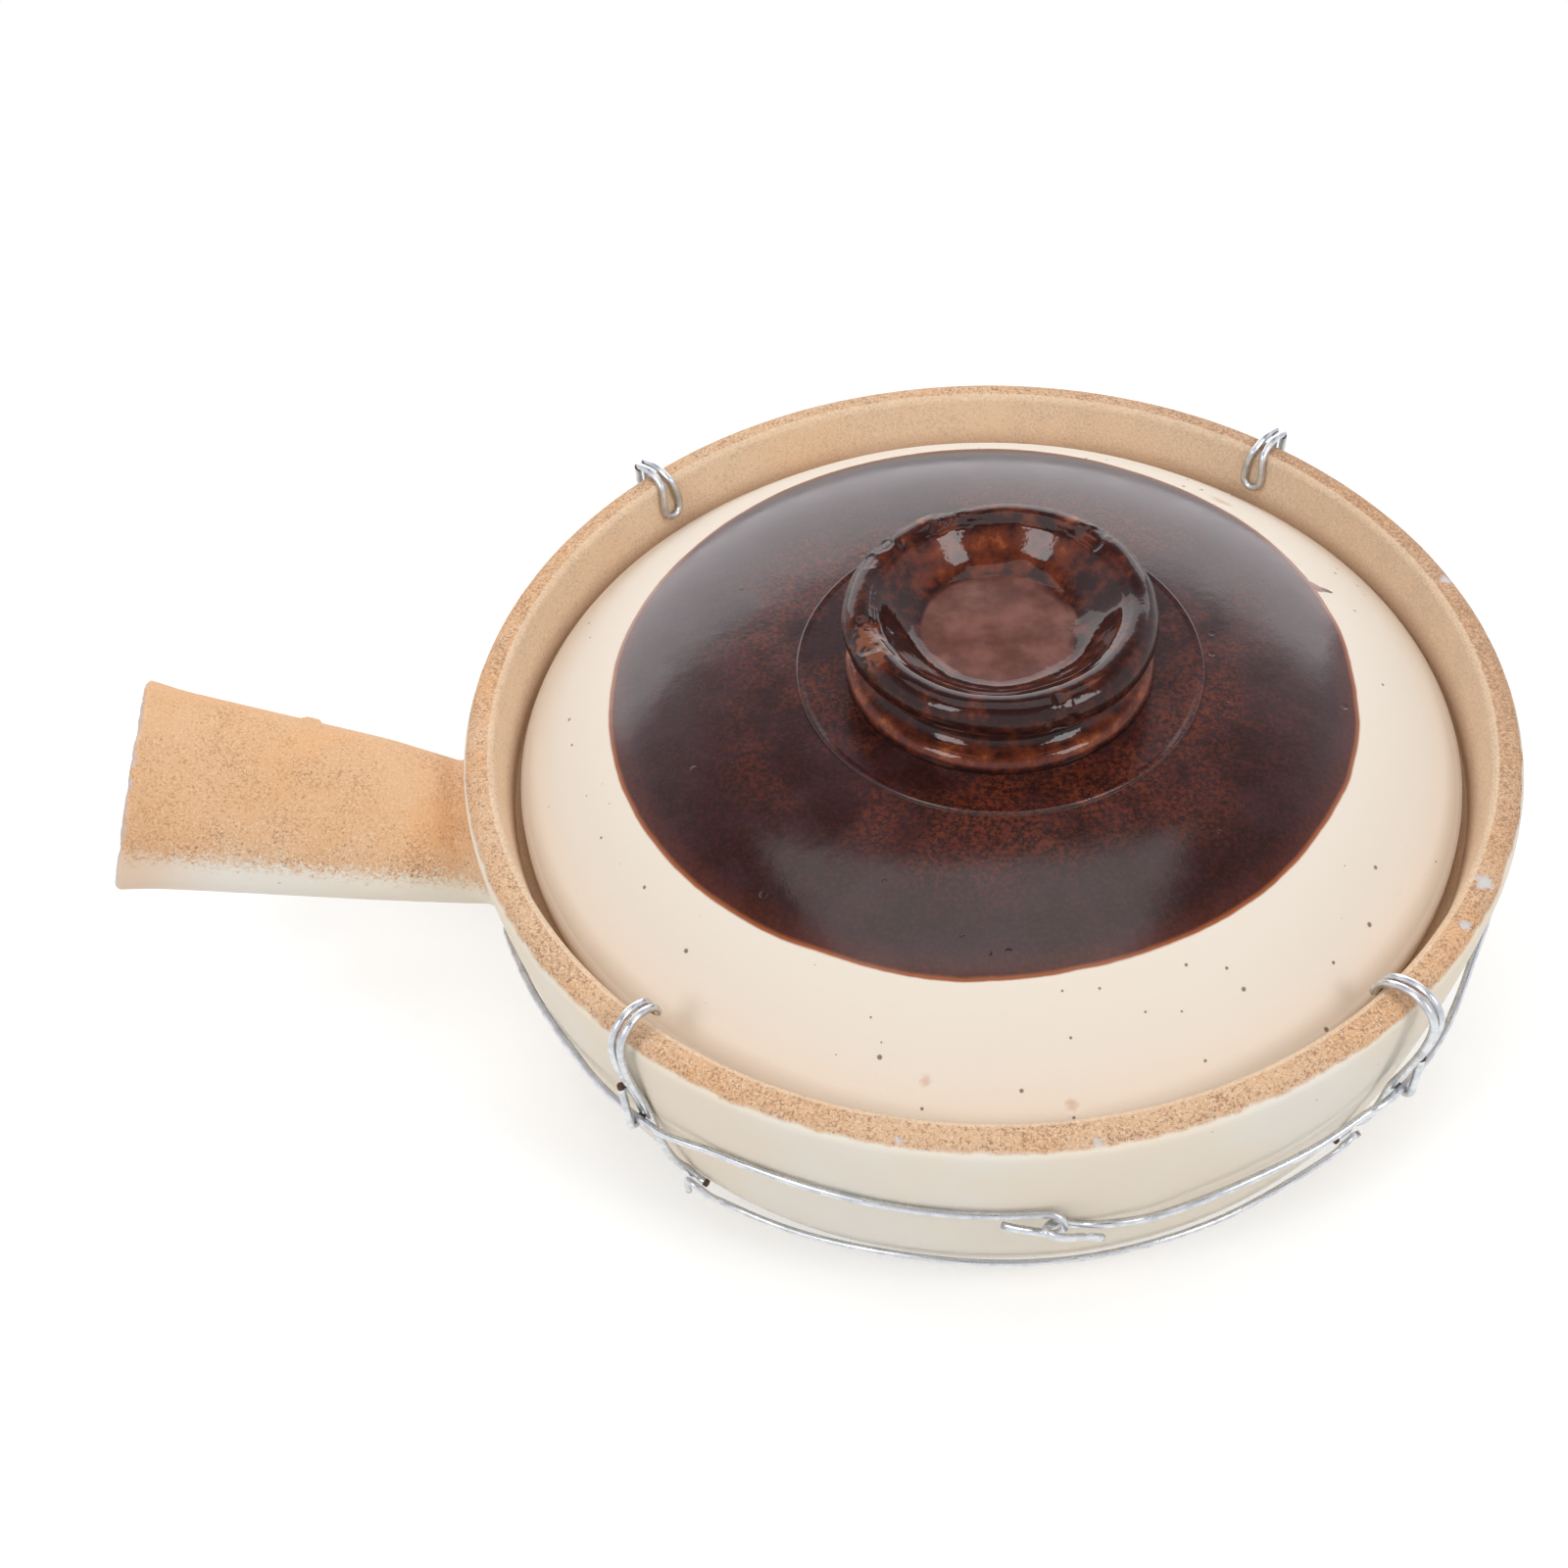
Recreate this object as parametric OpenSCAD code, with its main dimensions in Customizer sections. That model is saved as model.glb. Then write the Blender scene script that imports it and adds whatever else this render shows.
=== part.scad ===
/* [Pot] */
// Outside diameter of the pot at its rim
rim_d = 240; // [210:1:280]
// Height of the pot from its base to the top of its rim
pot_h = 74; // [68:1:90]
// Thickness of the wall and the floor
wall_t = 6.8; // [5:0.1:9]
// Radius of the turned corner between wall and base
corner_r = 30; // [24:1:38]
// Lean of the wall where it runs into the corner, in degrees
wall_lean = 13; // [8:0.5:16]
// How late the wall starts to lean in: 1 is a straight cone
wall_curve = 1.3; // [1.1:0.05:1.8]
// Thickness of the rim at its top
rim_t = 7.5; // [6:0.1:9]
// Rounding of the rim's outer edge
rim_outer_round = 3.8; // [2.5:0.1:4.5]
// Rounding of the rim's inner edge
rim_inner_round = 1.8; // [1:0.1:2.5]

/* [Lid seat] */
// Depth of the ledge that carries the lid, below the top of the rim
seat_depth = 17.5; // [13:0.5:20]
// Width of the ledge that carries the lid
seat_w = 5; // [4:0.1:7]
// Height over which the ledge runs back into the wall below it
seat_under = 12; // [8:0.5:16]
// Gap all round between the lid's edge and the wall of the seat
lid_side_gap = 2; // [1.5:0.1:3]
// Gap between the lid's lower face and the ledge
lid_rest_gap = 0.2; // [0.1:0.05:0.4]

/* [Lid] */
// Outside diameter of the lid
lid_d = 216; // [190:1:252]
// Depth of the lid's upper edge below the top of the rim
lid_edge_depth = 11.5; // [9:0.5:13]
// Rounding of the lid's upper edge
lid_edge_round = 1.2; // [0.6:0.1:2]
// Rise of the dome from the lid's upper edge to its top
lid_rise = 26; // [20:0.5:34]
// How square the dome's shoulder is
lid_shoulder = 4.5; // [3.5:0.1:5.5]
// Width of the flat ring under the lid that meets the ledge
lid_foot_w = 7; // [6:0.1:9]
// Thickness of the lid at its middle
lid_t = 6; // [5:0.1:8]
// How square the shoulder of the hollow under the lid is
hollow_shoulder = 6; // [5:0.1:7]
// Diameter of the raised round step under the knob
step_d = 91; // [80:1:110]
// Height of the raised step above the top of the dome
step_h = 0.4; // [0.2:0.1:1.2]

/* [Knob] */
// Distance of the knob and its step from the middle of the lid
knob_shift = 3; // [0:0.5:4]
// Diameter of the knob's foot
knob_foot_d = 69; // [64:1:76]
// Height of the rounded foot
knob_foot_h = 4.2; // [3:0.1:5.5]
// Diameter of the neck between foot and lip
knob_neck_d = 59; // [54:0.5:62]
// Diameter of the circle through the middle of the rounded lip
knob_lip_d = 61; // [57:0.5:66]
// Radius of the rounded lip
knob_lip_r = 4.4; // [3.6:0.1:5]
// Height of the knob
knob_h = 19; // [16:0.5:24]
// Diameter of the flat floor inside the cup
cup_floor_d = 34; // [30:0.5:40]
// Depth of the cup below the top of the lip
cup_depth = 9; // [7.5:0.1:11]

/* [Handle] */
// Length of the handle from the wall to its open end
handle_len = 85.5; // [70:0.5:120]
// Upward tilt of the handle, in degrees
handle_tilt = 19; // [8:0.5:24]
// Depth of the handle's axis below the rim, where it meets the wall
handle_depth = 31; // [28:0.5:34]
// Diameter of the handle at its root
handle_root_d = 33.6; // [28:0.2:36]
// Diameter of the handle at its open end
handle_end_d = 47.6; // [38:0.2:56]
// Thickness of the handle's clay
handle_t = 6; // [4.5:0.1:8]
// Swell of the handle's outer lip
handle_lip = 0.6; // [0:0.1:1.5]
// Rounding of the edges at the handle's open end
handle_edge_round = 1.6; // [0.8:0.1:2.2]
// Radius of the fillet at the sides of the handle's root
fillet_side = 10; // [6:0.5:14]
// Radius of the fillet at the top of the handle's root
fillet_top = 8; // [3:0.5:9]
// Radius of the fillet at the bottom of the handle's root
fillet_bottom = 3; // [1.5:0.5:4]

/* [Wire] */
// Diameter of the wire in the hoop and the hooks
wire_d = 1.8; // [1.6:0.1:2.2]
// Diameter of the wire that ties the feet of two hooks together
tie_d = 1.5; // [1.2:0.1:1.8]
// Gap between a wire and what it lies against
wire_gap = 0.2; // [0.15:0.05:0.4]
// Depth of the hoop below the rim, which varies round the pot
hoop_depth = 30; // [27:0.5:32]
// Height of the left joint between a hook and its tie wire above the base
tie_z = 22; // [20:0.5:25]
// How much higher the right joint of the front tie wire is
tie_rise = 7; // [0:0.5:8]
// Distance along the rim that a hook's leg leans towards its tie wire
leg_shift = 6; // [5:0.5:8]
// Distance that a leg bows out from the wall on its way to the tie wire
leg_bow = 1.4; // [0.2:0.1:2]
// Length of the tie wire's end that is bent down
tie_stub = 4; // [3:0.5:6]

/* [Hooks] */
// Distance between the two strands of a hook, middle to middle
strand_pitch = 2.3; // [2.2:0.1:3]
// Length of the cut stub that stands up outside the hoop
stub_len = 11.5; // [6:0.5:16]
// Distance along the rim that a stub leans away from the tie wire
stub_lean = 1; // [0:0.1:2]
// Length of the front left hook's stub
front_left_stub = 13; // [6:0.5:16]
// Height of the front left hook's bend above the rim
front_left_arch = 6.6; // [3:0.1:8]
// Distance of the bend's top inside the edge of the rim, front left
front_left_top_in = 3; // [1:0.1:4]
// Distance that the front left hook stands out from the rim
front_left_out = 2.8; // [2:0.1:6]
// Depth at which the front left hook has come back to the wall
front_left_slack = 25; // [16:0.5:50]
// Height of the front left hook's closed end above the rim
front_left_end = 1.4; // [-4:0.1:2.5]
// Gap between the front left hook's closed end and the path of the lid
front_left_pass = 2.4; // [0.4:0.1:2.4]
// Height of the front right hook's bend above the rim
front_right_arch = 3.6; // [3:0.1:8]
// Distance of the bend's top inside the edge of the rim, front right
front_right_top_in = 0.9; // [0.5:0.1:4]
// Distance that the front right hook stands out from the rim
front_right_out = 5.3; // [2:0.1:6]
// Depth at which the front right hook has come back to the wall
front_right_slack = 46; // [16:0.5:50]
// Height of the front right hook's closed end above the rim, below it if negative
front_right_end = -4.2; // [-6:0.1:2.5]
// Gap between the front right hook's closed end and the path of the lid
front_right_pass = 1.8; // [0.4:0.1:2.4]
// Height of the back hooks' bend above the rim
back_arch = 2.3; // [1.8:0.1:4]
// Distance that a back hook stands out from the rim
back_out = 1.9; // [1.5:0.1:4]
// Depth at which a back hook has come back to the wall
back_slack = 15; // [10:0.5:20]
// Radius of the back hooks' open eye
back_eye_r = 2.4; // [2:0.1:3]
// Depth of the back hooks' eye below the top of the rim
back_eye_depth = 9.3; // [7:0.1:10]

/* [Hidden] */

// Azimuths of the four hooks, counted from +X towards +Y
front_left_az = 226;
front_right_az = 310;
back_left_az = 129.3;
back_right_az = 45.8;

clay = [0.85, 0.72, 0.55];
slip = [0.90, 0.84, 0.74];
glaze = [0.22, 0.09, 0.06];
zinc = [0.68, 0.70, 0.72];

// Outside of the pot
rim_r = rim_d / 2;
rim_in_r = rim_r - rim_t;
rim_low_z = pot_h - rim_outer_round;
wall_low_z = corner_r * (1 - sin(wall_lean));
wall_drop = tan(wall_lean) * (rim_low_z - wall_low_z) / wall_curve;
wall_low_r = rim_r - wall_drop;
base_r = wall_low_r - corner_r * cos(wall_lean);

// Seat of the lid: the ledge reaches under the lid's foot, whatever the lid's size
lid_r = lid_d / 2;
seat_z = pot_h - seat_depth;
seat_out_r = min(lid_r + lid_side_gap, rim_in_r - 0.5);
seat_in_r = seat_out_r - seat_w;
lid_edge_r = seat_out_r - lid_side_gap;
lid_low_z = seat_z + lid_rest_gap;
lid_edge_z = pot_h - lid_edge_depth;
lid_top_z = lid_edge_z + lid_rise;
step_z = lid_top_z + step_h;

wire_r = wire_d / 2;
tie_r = tie_d / 2;

// How far down the leaning wall a height is, from 0 at the rim to 1 at the corner
function wall_share(z) = min(1, max(0, (rim_low_z - z) / (rim_low_z - wall_low_z)));

// Outside radius of the pot at a height
function wall_r(z) = z < wall_low_z
    ? base_r + sqrt(max(0, corner_r * corner_r - (corner_r - z) * (corner_r - z)))
    : rim_r - wall_drop * pow(wall_share(z), wall_curve);

// Lean of the wall at a height, in degrees
function lean_at(z) = atan(tan(wall_lean) * pow(wall_share(z), wall_curve - 1));

// Points of a circle's arc in a profile, from one angle to another
function arc(x, y, r, from, to, steps) =
    [for (i = [0:steps]) let (a = from + (to - from) * i / steps) [x + r * cos(a), y + r * sin(a)]];

// Eases from 0 to 1
function ease(t) = let (c = min(1, max(0, t))) c * c * (3 - 2 * c);

// Superelliptic dome over a radius
function dome(r, full_r, rise, power) = rise * (1 - pow(min(1, r / full_r), power));

// Smooth curve through points, with a number of steps between each two
function curve_at(a, b, c, d, t) = 0.5 * (2 * b + (c - a) * t + (2 * a - 5 * b + 4 * c - d) * t * t
    + (3 * b - a - 3 * c + d) * t * t * t);
function smooth(p, steps) = let (last = len(p) - 1) concat(
    [for (i = [0:last - 1]) for (k = [0:steps - 1])
        curve_at(i == 0 ? 2 * p[0] - p[1] : p[i - 1], p[i], p[i + 1],
                 i == last - 1 ? 2 * p[last] - p[last - 1] : p[i + 2], k / steps)],
    [p[last]]);

function unit(v) = v / norm(v);
function tangent(p, i) = unit(p[min(i + 1, len(p) - 1)] - p[max(i - 1, 0)]);
function square_to(v, t) = unit(v - t * (v * t));

// Directions across a path that don't twist along it
function normals(p) = [for (i = 0, n = square_to([0.31, 0.17, 0.93], tangent(p, 0)); i < len(p);
    i = i + 1, n = i < len(p) ? square_to(n, tangent(p, i)) : n) n];

// Round wire along a path, with flat cut ends
module wire(p, r, sides = 8) {
    n = normals(p);
    rings = [for (i = [0:len(p) - 1]) let (t = tangent(p, i), b = cross(t, n[i]))
        for (k = [0:sides - 1]) let (a = 360 * k / sides) p[i] + r * (cos(a) * n[i] + sin(a) * b)];
    last = len(p) - 1;
    skin = [for (i = [0:last - 1]) for (k = [0:sides - 1])
        let (a = i * sides + k, b = i * sides + (k + 1) % sides)
        for (f = [[a, b + sides, b], [a, a + sides, b + sides]]) f];
    start = [for (k = [1:sides - 2]) [0, k, k + 1]];
    end = [for (k = [1:sides - 2]) [last * sides, last * sides + k + 1, last * sides + k]];
    polyhedron(points = rings, faces = concat(skin, start, end));
}

// A point given by azimuth, radius and height
function polar(az, r, z) = [r * cos(az), r * sin(az), z];

// A point given at an azimuth by radius, distance along the rim and height
function beside(az, r, s, z) = [r * cos(az) - s * sin(az), r * sin(az) + s * cos(az), z];

// Pot: one turned profile from the base over the rim to the floor
inner_corner_r = corner_r - wall_t;
inner_top_z = seat_z - seat_under;
ledge_round = 1;

function inner_wall(z) = let (a = lean_at(z)) [wall_r(z) - wall_t * cos(a), z + wall_t * sin(a)];
inner_top_r = wall_r(inner_top_z) - wall_t;

function pot_outside() = concat(
    arc(base_r, corner_r, corner_r, -90, -wall_lean, 12),
    [for (i = [1:9]) let (z = wall_low_z + (rim_low_z - wall_low_z) * i / 10) [wall_r(z), z]],
    arc(rim_r - rim_outer_round, rim_low_z, rim_outer_round, 0, 90, 6));

function pot_inside() = concat(
    arc(rim_in_r + rim_inner_round, pot_h - rim_inner_round, rim_inner_round, 90, 180, 4),
    [[seat_out_r, seat_z]],
    arc(seat_in_r + ledge_round, seat_z - ledge_round, ledge_round, 90, 180, 3),
    [for (i = [1:5]) let (t = i / 6, z = seat_z - ledge_round - (seat_under - ledge_round) * t)
        [seat_in_r + (inner_top_r - seat_in_r) * ease(t), z]],
    [for (i = [0:5]) let (z = inner_top_z + (wall_low_z - inner_top_z) * i / 6,
                          p = inner_wall(z), k = ease(i / 2))
        [inner_top_r + (p[0] - inner_top_r) * k, min(inner_top_z, z + (p[1] - z) * k)]],
    arc(base_r, corner_r, inner_corner_r, -wall_lean, -90, 10));

module pot_body() {
    color(slip)
    rotate_extrude($fn = 180)
    polygon(concat([[0, 0]], pot_outside(), pot_inside(), [[0, wall_t]]));
}

// Handle: a hollow tapered tube, whose root follows the round wall
handle_gap = 0.05;
handle_sides = 40;
root_blend = 32;
root_z = pot_h - handle_depth;
root_at = [-wall_r(root_z), 0, root_z];
handle_axis = [-cos(handle_tilt), 0, sin(handle_tilt)];
handle_up = [sin(handle_tilt), 0, cos(handle_tilt)];

function handle_r(s) = (handle_root_d + (handle_end_d - handle_root_d) * s / handle_len) / 2
    + handle_lip * ease((s - handle_len + 9) / 8);
function bore_r(s) = (handle_root_d + (handle_end_d - handle_root_d) * s / handle_len) / 2 - handle_t;

// Fillet radius round the root: an angle of 0 is the side, 90 the top and -90 the bottom.
// The fillet at the top stays below the rounding of the rim.
top_fillet = min(fillet_top, handle_depth - handle_root_d / 2 - rim_outer_round);
function fillet(a) = fillet_side * cos(a) * cos(a)
    + (sin(a) > 0 ? top_fillet : fillet_bottom) * sin(a) * sin(a);

// A point of the handle at a distance along it and from its axis
function handle_point(s, r, a) = let (
    square = root_at + s * handle_axis + r * (cos(a) * [0, 1, 0] + sin(a) * handle_up),
    y = r * cos(a),
    z = root_z + s * sin(handle_tilt) + r * sin(a),
    w = wall_r(z),
    round = [-sqrt(max(1, w * w - y * y)) - handle_gap - s * cos(handle_tilt), y, z],
    k = ease(s / root_blend))
    round * (1 - k) + square * k;

// One ring round the handle: distance and radius, and how far up the fillet it lies
function handle_ring(s, r, rise) = [for (k = [0:handle_sides - 1]) let (
    a = 360 * k / handle_sides,
    f = fillet(a))
    rise < 0 ? handle_point(s, r, a)
        : handle_point(s + f * (1 - cos(rise)), handle_r(0) + f * (1 - sin(rise)), a)];

module handle() {
    e = handle_edge_round;
    bore = [for (i = [0:9]) let (s = (handle_len - e) * i / 9) handle_ring(s, bore_r(s), -1)];
    lip_in = [for (i = [1:3]) let (a = 30 * i)
        handle_ring(handle_len - e + e * sin(a), bore_r(handle_len) + e * (1 - cos(a)), -1)];
    lip_out = [for (i = [0:3]) let (a = 90 - 30 * i)
        handle_ring(handle_len - e + e * sin(a), handle_r(handle_len) - e * (1 - cos(a)), -1)];
    outside = [for (i = [1:13]) let (s = handle_len - e - (handle_len - e - fillet_side) * i / 13)
        handle_ring(s, handle_r(s), -1)];
    root = [for (i = [0:5]) handle_ring(0, 0, 75 - 15 * i)];
    under = [for (i = [1:3]) let (t = i / 4) [for (k = [0:handle_sides - 1])
        let (a = 360 * k / handle_sides, far = handle_r(0) + fillet(a))
        handle_point(0, far + (bore_r(0) - far) * t, a)]];
    rings = concat(bore, lip_in, lip_out, outside, root, under);
    n = handle_sides;
    skin = [for (i = [0:len(rings) - 1]) for (k = [0:n - 1])
        let (j = (i + 1) % len(rings), a = i * n + k, b = i * n + (k + 1) % n,
             c = j * n + k, d = j * n + (k + 1) % n)
        for (f = [[a, d, b], [a, c, d]]) f];
    color(clay)
    polyhedron(points = [for (ring = rings) for (p = ring) p], faces = skin);
}

// Lid: a turned dome with a flat foot ring, and a flat step that carries the knob
hollow_r = lid_edge_r - lid_foot_w;
hollow_rise = lid_top_z - lid_t - lid_low_z;
dome_steps = 22;

module lid() {
    shoulder_r = lid_edge_r - lid_edge_round;
    shoulder = [for (i = [0:dome_steps]) let (r = shoulder_r * cos(90 * i / dome_steps))
        [r, lid_edge_z + dome(r, shoulder_r, lid_rise, lid_shoulder)]];
    hollow = [for (i = [0:dome_steps]) let (r = hollow_r * sin(90 * i / dome_steps))
        [r, lid_low_z + dome(r, hollow_r, hollow_rise, hollow_shoulder)]];
    edge = arc(shoulder_r, lid_edge_z - lid_edge_round, lid_edge_round, 0, 60, 2);
    color(glaze) {
        rotate_extrude($fn = 180)
        polygon(concat([[lid_edge_r, lid_low_z]], edge, shoulder, hollow));
        translate([knob_shift, 0, lid_top_z - lid_t / 2])
        cylinder(d = step_d, h = step_z - lid_top_z + lid_t / 2, $fn = 180);
    }
}

// Knob: a turned cup on a rounded foot
module lid_knob() {
    foot_r = knob_foot_d / 2;
    neck_r = knob_neck_d / 2;
    lip_z = knob_h - knob_lip_r;
    floor_z = knob_h - cup_depth;
    cup_in_r = knob_lip_d / 2 - knob_lip_r;
    foot = [for (i = [0:8]) let (t = i / 8, z = knob_foot_h * t)
        [neck_r + (foot_r - neck_r) * sqrt(1 - t * t * t), z]];
    lip = arc(knob_lip_d / 2, lip_z, knob_lip_r, -60, 180, 20);
    cup_wall = [for (i = [1:8]) let (t = i / 8, a = (1 - t) * (1 - t), b = 2 * t * (1 - t), c = t * t)
        a * [cup_in_r, lip_z] + b * [cup_in_r - 0.5, floor_z + 0.3] + c * [cup_floor_d / 2, floor_z]];
    color(glaze)
    translate([knob_shift, 0, step_z])
    rotate_extrude($fn = 180)
    polygon(concat([[0, 0]], foot, lip, cup_wall, [[0, floor_z]]));
}

// A wire that lies against the wall has its middle this far from it
snug = wire_r + wire_gap;
tie_snug = tie_r + wire_gap;

// A point beside the wall: azimuth, depth below the rim and distance from the wall
function on_wall(az, depth, stand) = let (z = pot_h - depth) polar(az, wall_r(z) + stand, z);

// Depth at which a hook stands out most
function out_depth(out) = out - wire_d * 1.5;

// Distance of a hook's strand from the wall at a depth: it stands out by the rim and
// has come back to the wall at the depth of its slack
function strand_stand(depth, out, slack) = let (from = out_depth(out))
    snug + (out - snug) * (1 - ease((depth - from) / (slack - from)));

// Shares of the hoop's depth at which it crosses the hooks, outside their strands
function depth_at(share) = hoop_depth * share;
left_cross = 0.94;
right_cross = 0.97;
back_cross = 0.93;
function cross_stand(share, out, slack) =
    strand_stand(depth_at(share), out, slack) + wire_d + wire_gap;
left_stand = cross_stand(left_cross, front_left_out, front_left_slack);
right_stand = cross_stand(right_cross, front_right_out, front_right_slack);
back_stand = cross_stand(back_cross, back_out, back_slack);

// Hoop: azimuth, share of the hoop's depth and distance from the wall. It lies close to
// the wall between the hooks, passes outside their strands, stands slack on both sides
// of the front right hook and dips under the root of the handle.
under_handle = handle_depth + handle_root_d / 2 + fillet_bottom + wire_r + 1;
under = under_handle / hoop_depth;
hoop_run = [
    [254.5, 0.865, snug],
    [249, 0.855, snug],
    [243, 0.855, snug],
    [238.5, 0.87, snug],
    [234.5, 0.9, snug * 1.2],
    [front_left_az + 5.5, left_cross - 0.02, left_stand * 0.72],
    [front_left_az + 2.5, left_cross, left_stand * 0.98],
    [front_left_az - 2.5, left_cross, left_stand * 0.98],
    [front_left_az - 8, 0.98, snug * 2.1],
    [213.5, 1, snug * 1.3],
    [206, 1.03, snug],
    [199, 1.07, snug],
    [193.7, 1.1, snug * 1.25],
    [191.7, 1.24, snug * 1.35],
    [189.5, 1.45, snug * 1.6],
    [186, under - 0.1, snug * 2.1],
    [180, under, snug * 2.4],
    [167, under - 0.07, snug * 2.7],
    [152, under - 0.37, snug * 2.2],
    [back_left_az + 4, back_cross, back_stand],
    [back_left_az, back_cross, back_stand],
    [back_left_az - 4, back_cross, back_stand],
    [114, 0.88, snug],
    [101, 0.87, snug * 1.1],
    [88, 0.85, snug * 1.1],
    [75, 0.87, snug * 1.1],
    [62, 0.88, snug],
    [back_right_az + 4, back_cross, back_stand],
    [back_right_az, back_cross, back_stand],
    [back_right_az - 4, back_cross, back_stand],
    [32, 0.89, snug],
    [18, 0.87, snug * 1.1],
    [4, 0.85, snug * 1.1],
    [-10, 0.85, snug * 1.1],
    [-22, 0.86, snug],
    [-31, 0.88, snug],
    [-37, 0.93, snug * 2.2],
    [-42, 0.96, snug * 3.4],
    [front_right_az - 357.5, right_cross, right_stand],
    [front_right_az - 362.5, right_cross, right_stand],
    [-55, 1.0, snug * 3.2],
    [-61, 1.02, snug * 2.9],
    [-67, 1.03, snug * 2.5],
    [-74, 1.07, snug * 2.4]];

// Clasp at the front: the hoop's two ends are bent back and hooked into each other.
// Places are distance along the rim, depth and distance from a wire that lies against
// the wall, all in diameters of the wire.
clasp_az = 270.5;
clasp_depth = depth_at(0.88);
left_end = [
    [-5.9, 1.1, 0.8],
    [-4.1, 1.9, 0.95],
    [-1.9, 2.5, 1.2],
    [-0.1, 3.0, 1.4],
    [0.95, 1.9, 1.25],
    [0.65, 0.35, 0.7],
    [-0.45, -0.2, 0.2],
    [-2.5, -0.1, 0.05],
    [-8.3, 0, 0]];
right_end = [
    [12.2, 4.7, 0.6],
    [7.6, 4.6, 0.45],
    [5, 4.6, 0.15],
    [3.3, 4.3, 0],
    [1.9, 3.5, 0],
    [0.2, 1.8, 0.3],
    [-1.05, 0.4, 1.55],
    [-1.25, 0, 2.35],
    [-0.3, 0.6, 2.7],
    [1.1, 1.8, 2.55],
    [3, 3.6, 1.95],
    [5.6, 6.2, 1.4]];

// A place of the clasp as azimuth, depth and distance from the wall
function in_clasp(p, az) = [az + wire_d * p[0] / wall_r(pot_h - clasp_depth) * 180 / PI,
                            clasp_depth + wire_d * p[1], snug + wire_d * p[2]];

module upper_hoop() {
    places = concat([for (p = left_end) in_clasp(p, clasp_az)],
                    [for (p = hoop_run) [p[0], depth_at(p[1]), p[2]]],
                    [for (p = right_end) in_clasp(p, clasp_az - 360)]);
    color(zinc)
    wire([for (p = smooth(places, 4)) on_wall(p[0], p[1], max(p[2], snug))], wire_r);
}

// Joint between a hook's leg and its tie wire, in diameters of the wire: distance along
// the rim towards the tie wire, distance outwards from the leg and height
joint_leg = [
    [-0.35, 0, 1.6],
    [0.1, 0, 0.5],
    [1, 0, -0.15],
    [2.2, 0, -0.3]];
joint_tie = [
    [-0.1, 1.1, -0.3],
    [0.3, 1.1, 0.4],
    [1.1, 1.2, 0.6],
    [2.1, 1.2, 0.2],
    [3.3, 1.15, -0.9]];

// A place by a joint as azimuth, depth and distance from the wall, from millimetres along
// the rim, outwards and upwards
function by_joint(az, z, along, out, up) =
    [az + along / wall_r(z) * 180 / PI, pot_h - z - up, snug + wire_gap + out];

// Hook: one wire from the stub outside the hoop, round the hoop, up the wall, over the
// rim to its closed end, back over the rim, down behind the hoop and on to the tie wire.
// side is the direction of the tie wire, cross the share of the hoop's depth, out and
// slack say how the strands stand off the wall, top is the height and radius of the bend,
// inside holds the places across the rim from there to the end, and loop_r is its radius.
module rim_hook(az, side, cross, stub, out, slack, top, inside, loop_r, foot_z) {
    half = strand_pitch / 2;
    cross_depth = depth_at(cross);
    hoop_z = pot_h - cross_depth;
    hoop_r = wall_r(hoop_z) + cross_stand(cross, out, slack);
    turn_r = wire_d + wire_gap;

    // Places across the rim as radius and height, from the hoop up to the top
    widest = out_depth(out);
    climb = [for (share = [0.75, 0.5, 0.25]) let (d = widest + (cross_depth - widest) * share)
        [wall_r(pot_h - d) + strand_stand(d, out, slack), pot_h - d]];
    bend = [for (a = [0:30:90])
        [top[1] + (rim_r + out - top[1]) * cos(a), pot_h - widest + (top[0] + widest) * sin(a)]];
    over = concat(climb, bend, inside);

    // The end: a half turn in the direction in which the strands arrive
    last = over[len(over) - 1];
    before = over[len(over) - 2];
    ahead = unit(last - before);
    flare = [for (i = [1:len(inside)]) half + (loop_r - half) * ease(i / len(inside))];
    function spread(i) = let (k = i - len(over) + len(inside)) k < 0 ? half : flare[k];

    cut_end = [for (t = [1, 0.6, 0.2])
        [hoop_r + turn_r, -side * (half + stub_lean * t), hoop_z + stub * t]];
    turn = [for (a = [0:-36:-180]) [hoop_r + turn_r * cos(a), -side * half, hoop_z + turn_r * sin(a)]];
    over_a = [for (i = [0:len(over) - 1]) [over[i][0], -side * spread(i), over[i][1]]];
    over_b = [for (i = [len(over) - 1:-1:0]) [over[i][0], side * spread(i), over[i][1]]];
    loop = [for (a = [150:-30:30]) [last[0] + ahead[0] * loop_r * sin(a), side * loop_r * cos(a),
                                    last[1] + ahead[1] * loop_r * sin(a)]];
    down = [[wall_r(hoop_z) + strand_stand(cross_depth, out, slack), side * half, hoop_z]];
    path = [for (p = concat(cut_end, turn, over_a, loop, over_b, down)) beside(az, p[0], p[1], p[2])];

    // The leg leans along the rim down to the joint, and its end is bent along the rim
    foot_az = az + side * leg_shift / wall_r(foot_z) * 180 / PI;
    half_az = half / wall_r(hoop_z) * 180 / PI;
    lean_run = [for (t = [0.35, 0.7]) let (d = cross_depth + (pot_h - foot_z - cross_depth) * t)
        on_wall(az + side * half_az * (1 - t) + (foot_az - az) * t, d,
                strand_stand(d, out, slack) + leg_bow)];
    foot = [for (p = joint_leg) let (at = by_joint(foot_az, foot_z, side * wire_d * p[0],
                                                   wire_d * p[1], wire_d * p[2]))
        on_wall(at[0], at[1], at[2])];
    color(zinc)
    wire(smooth(concat(path, lean_run, foot), 2), wire_r);
}

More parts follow.
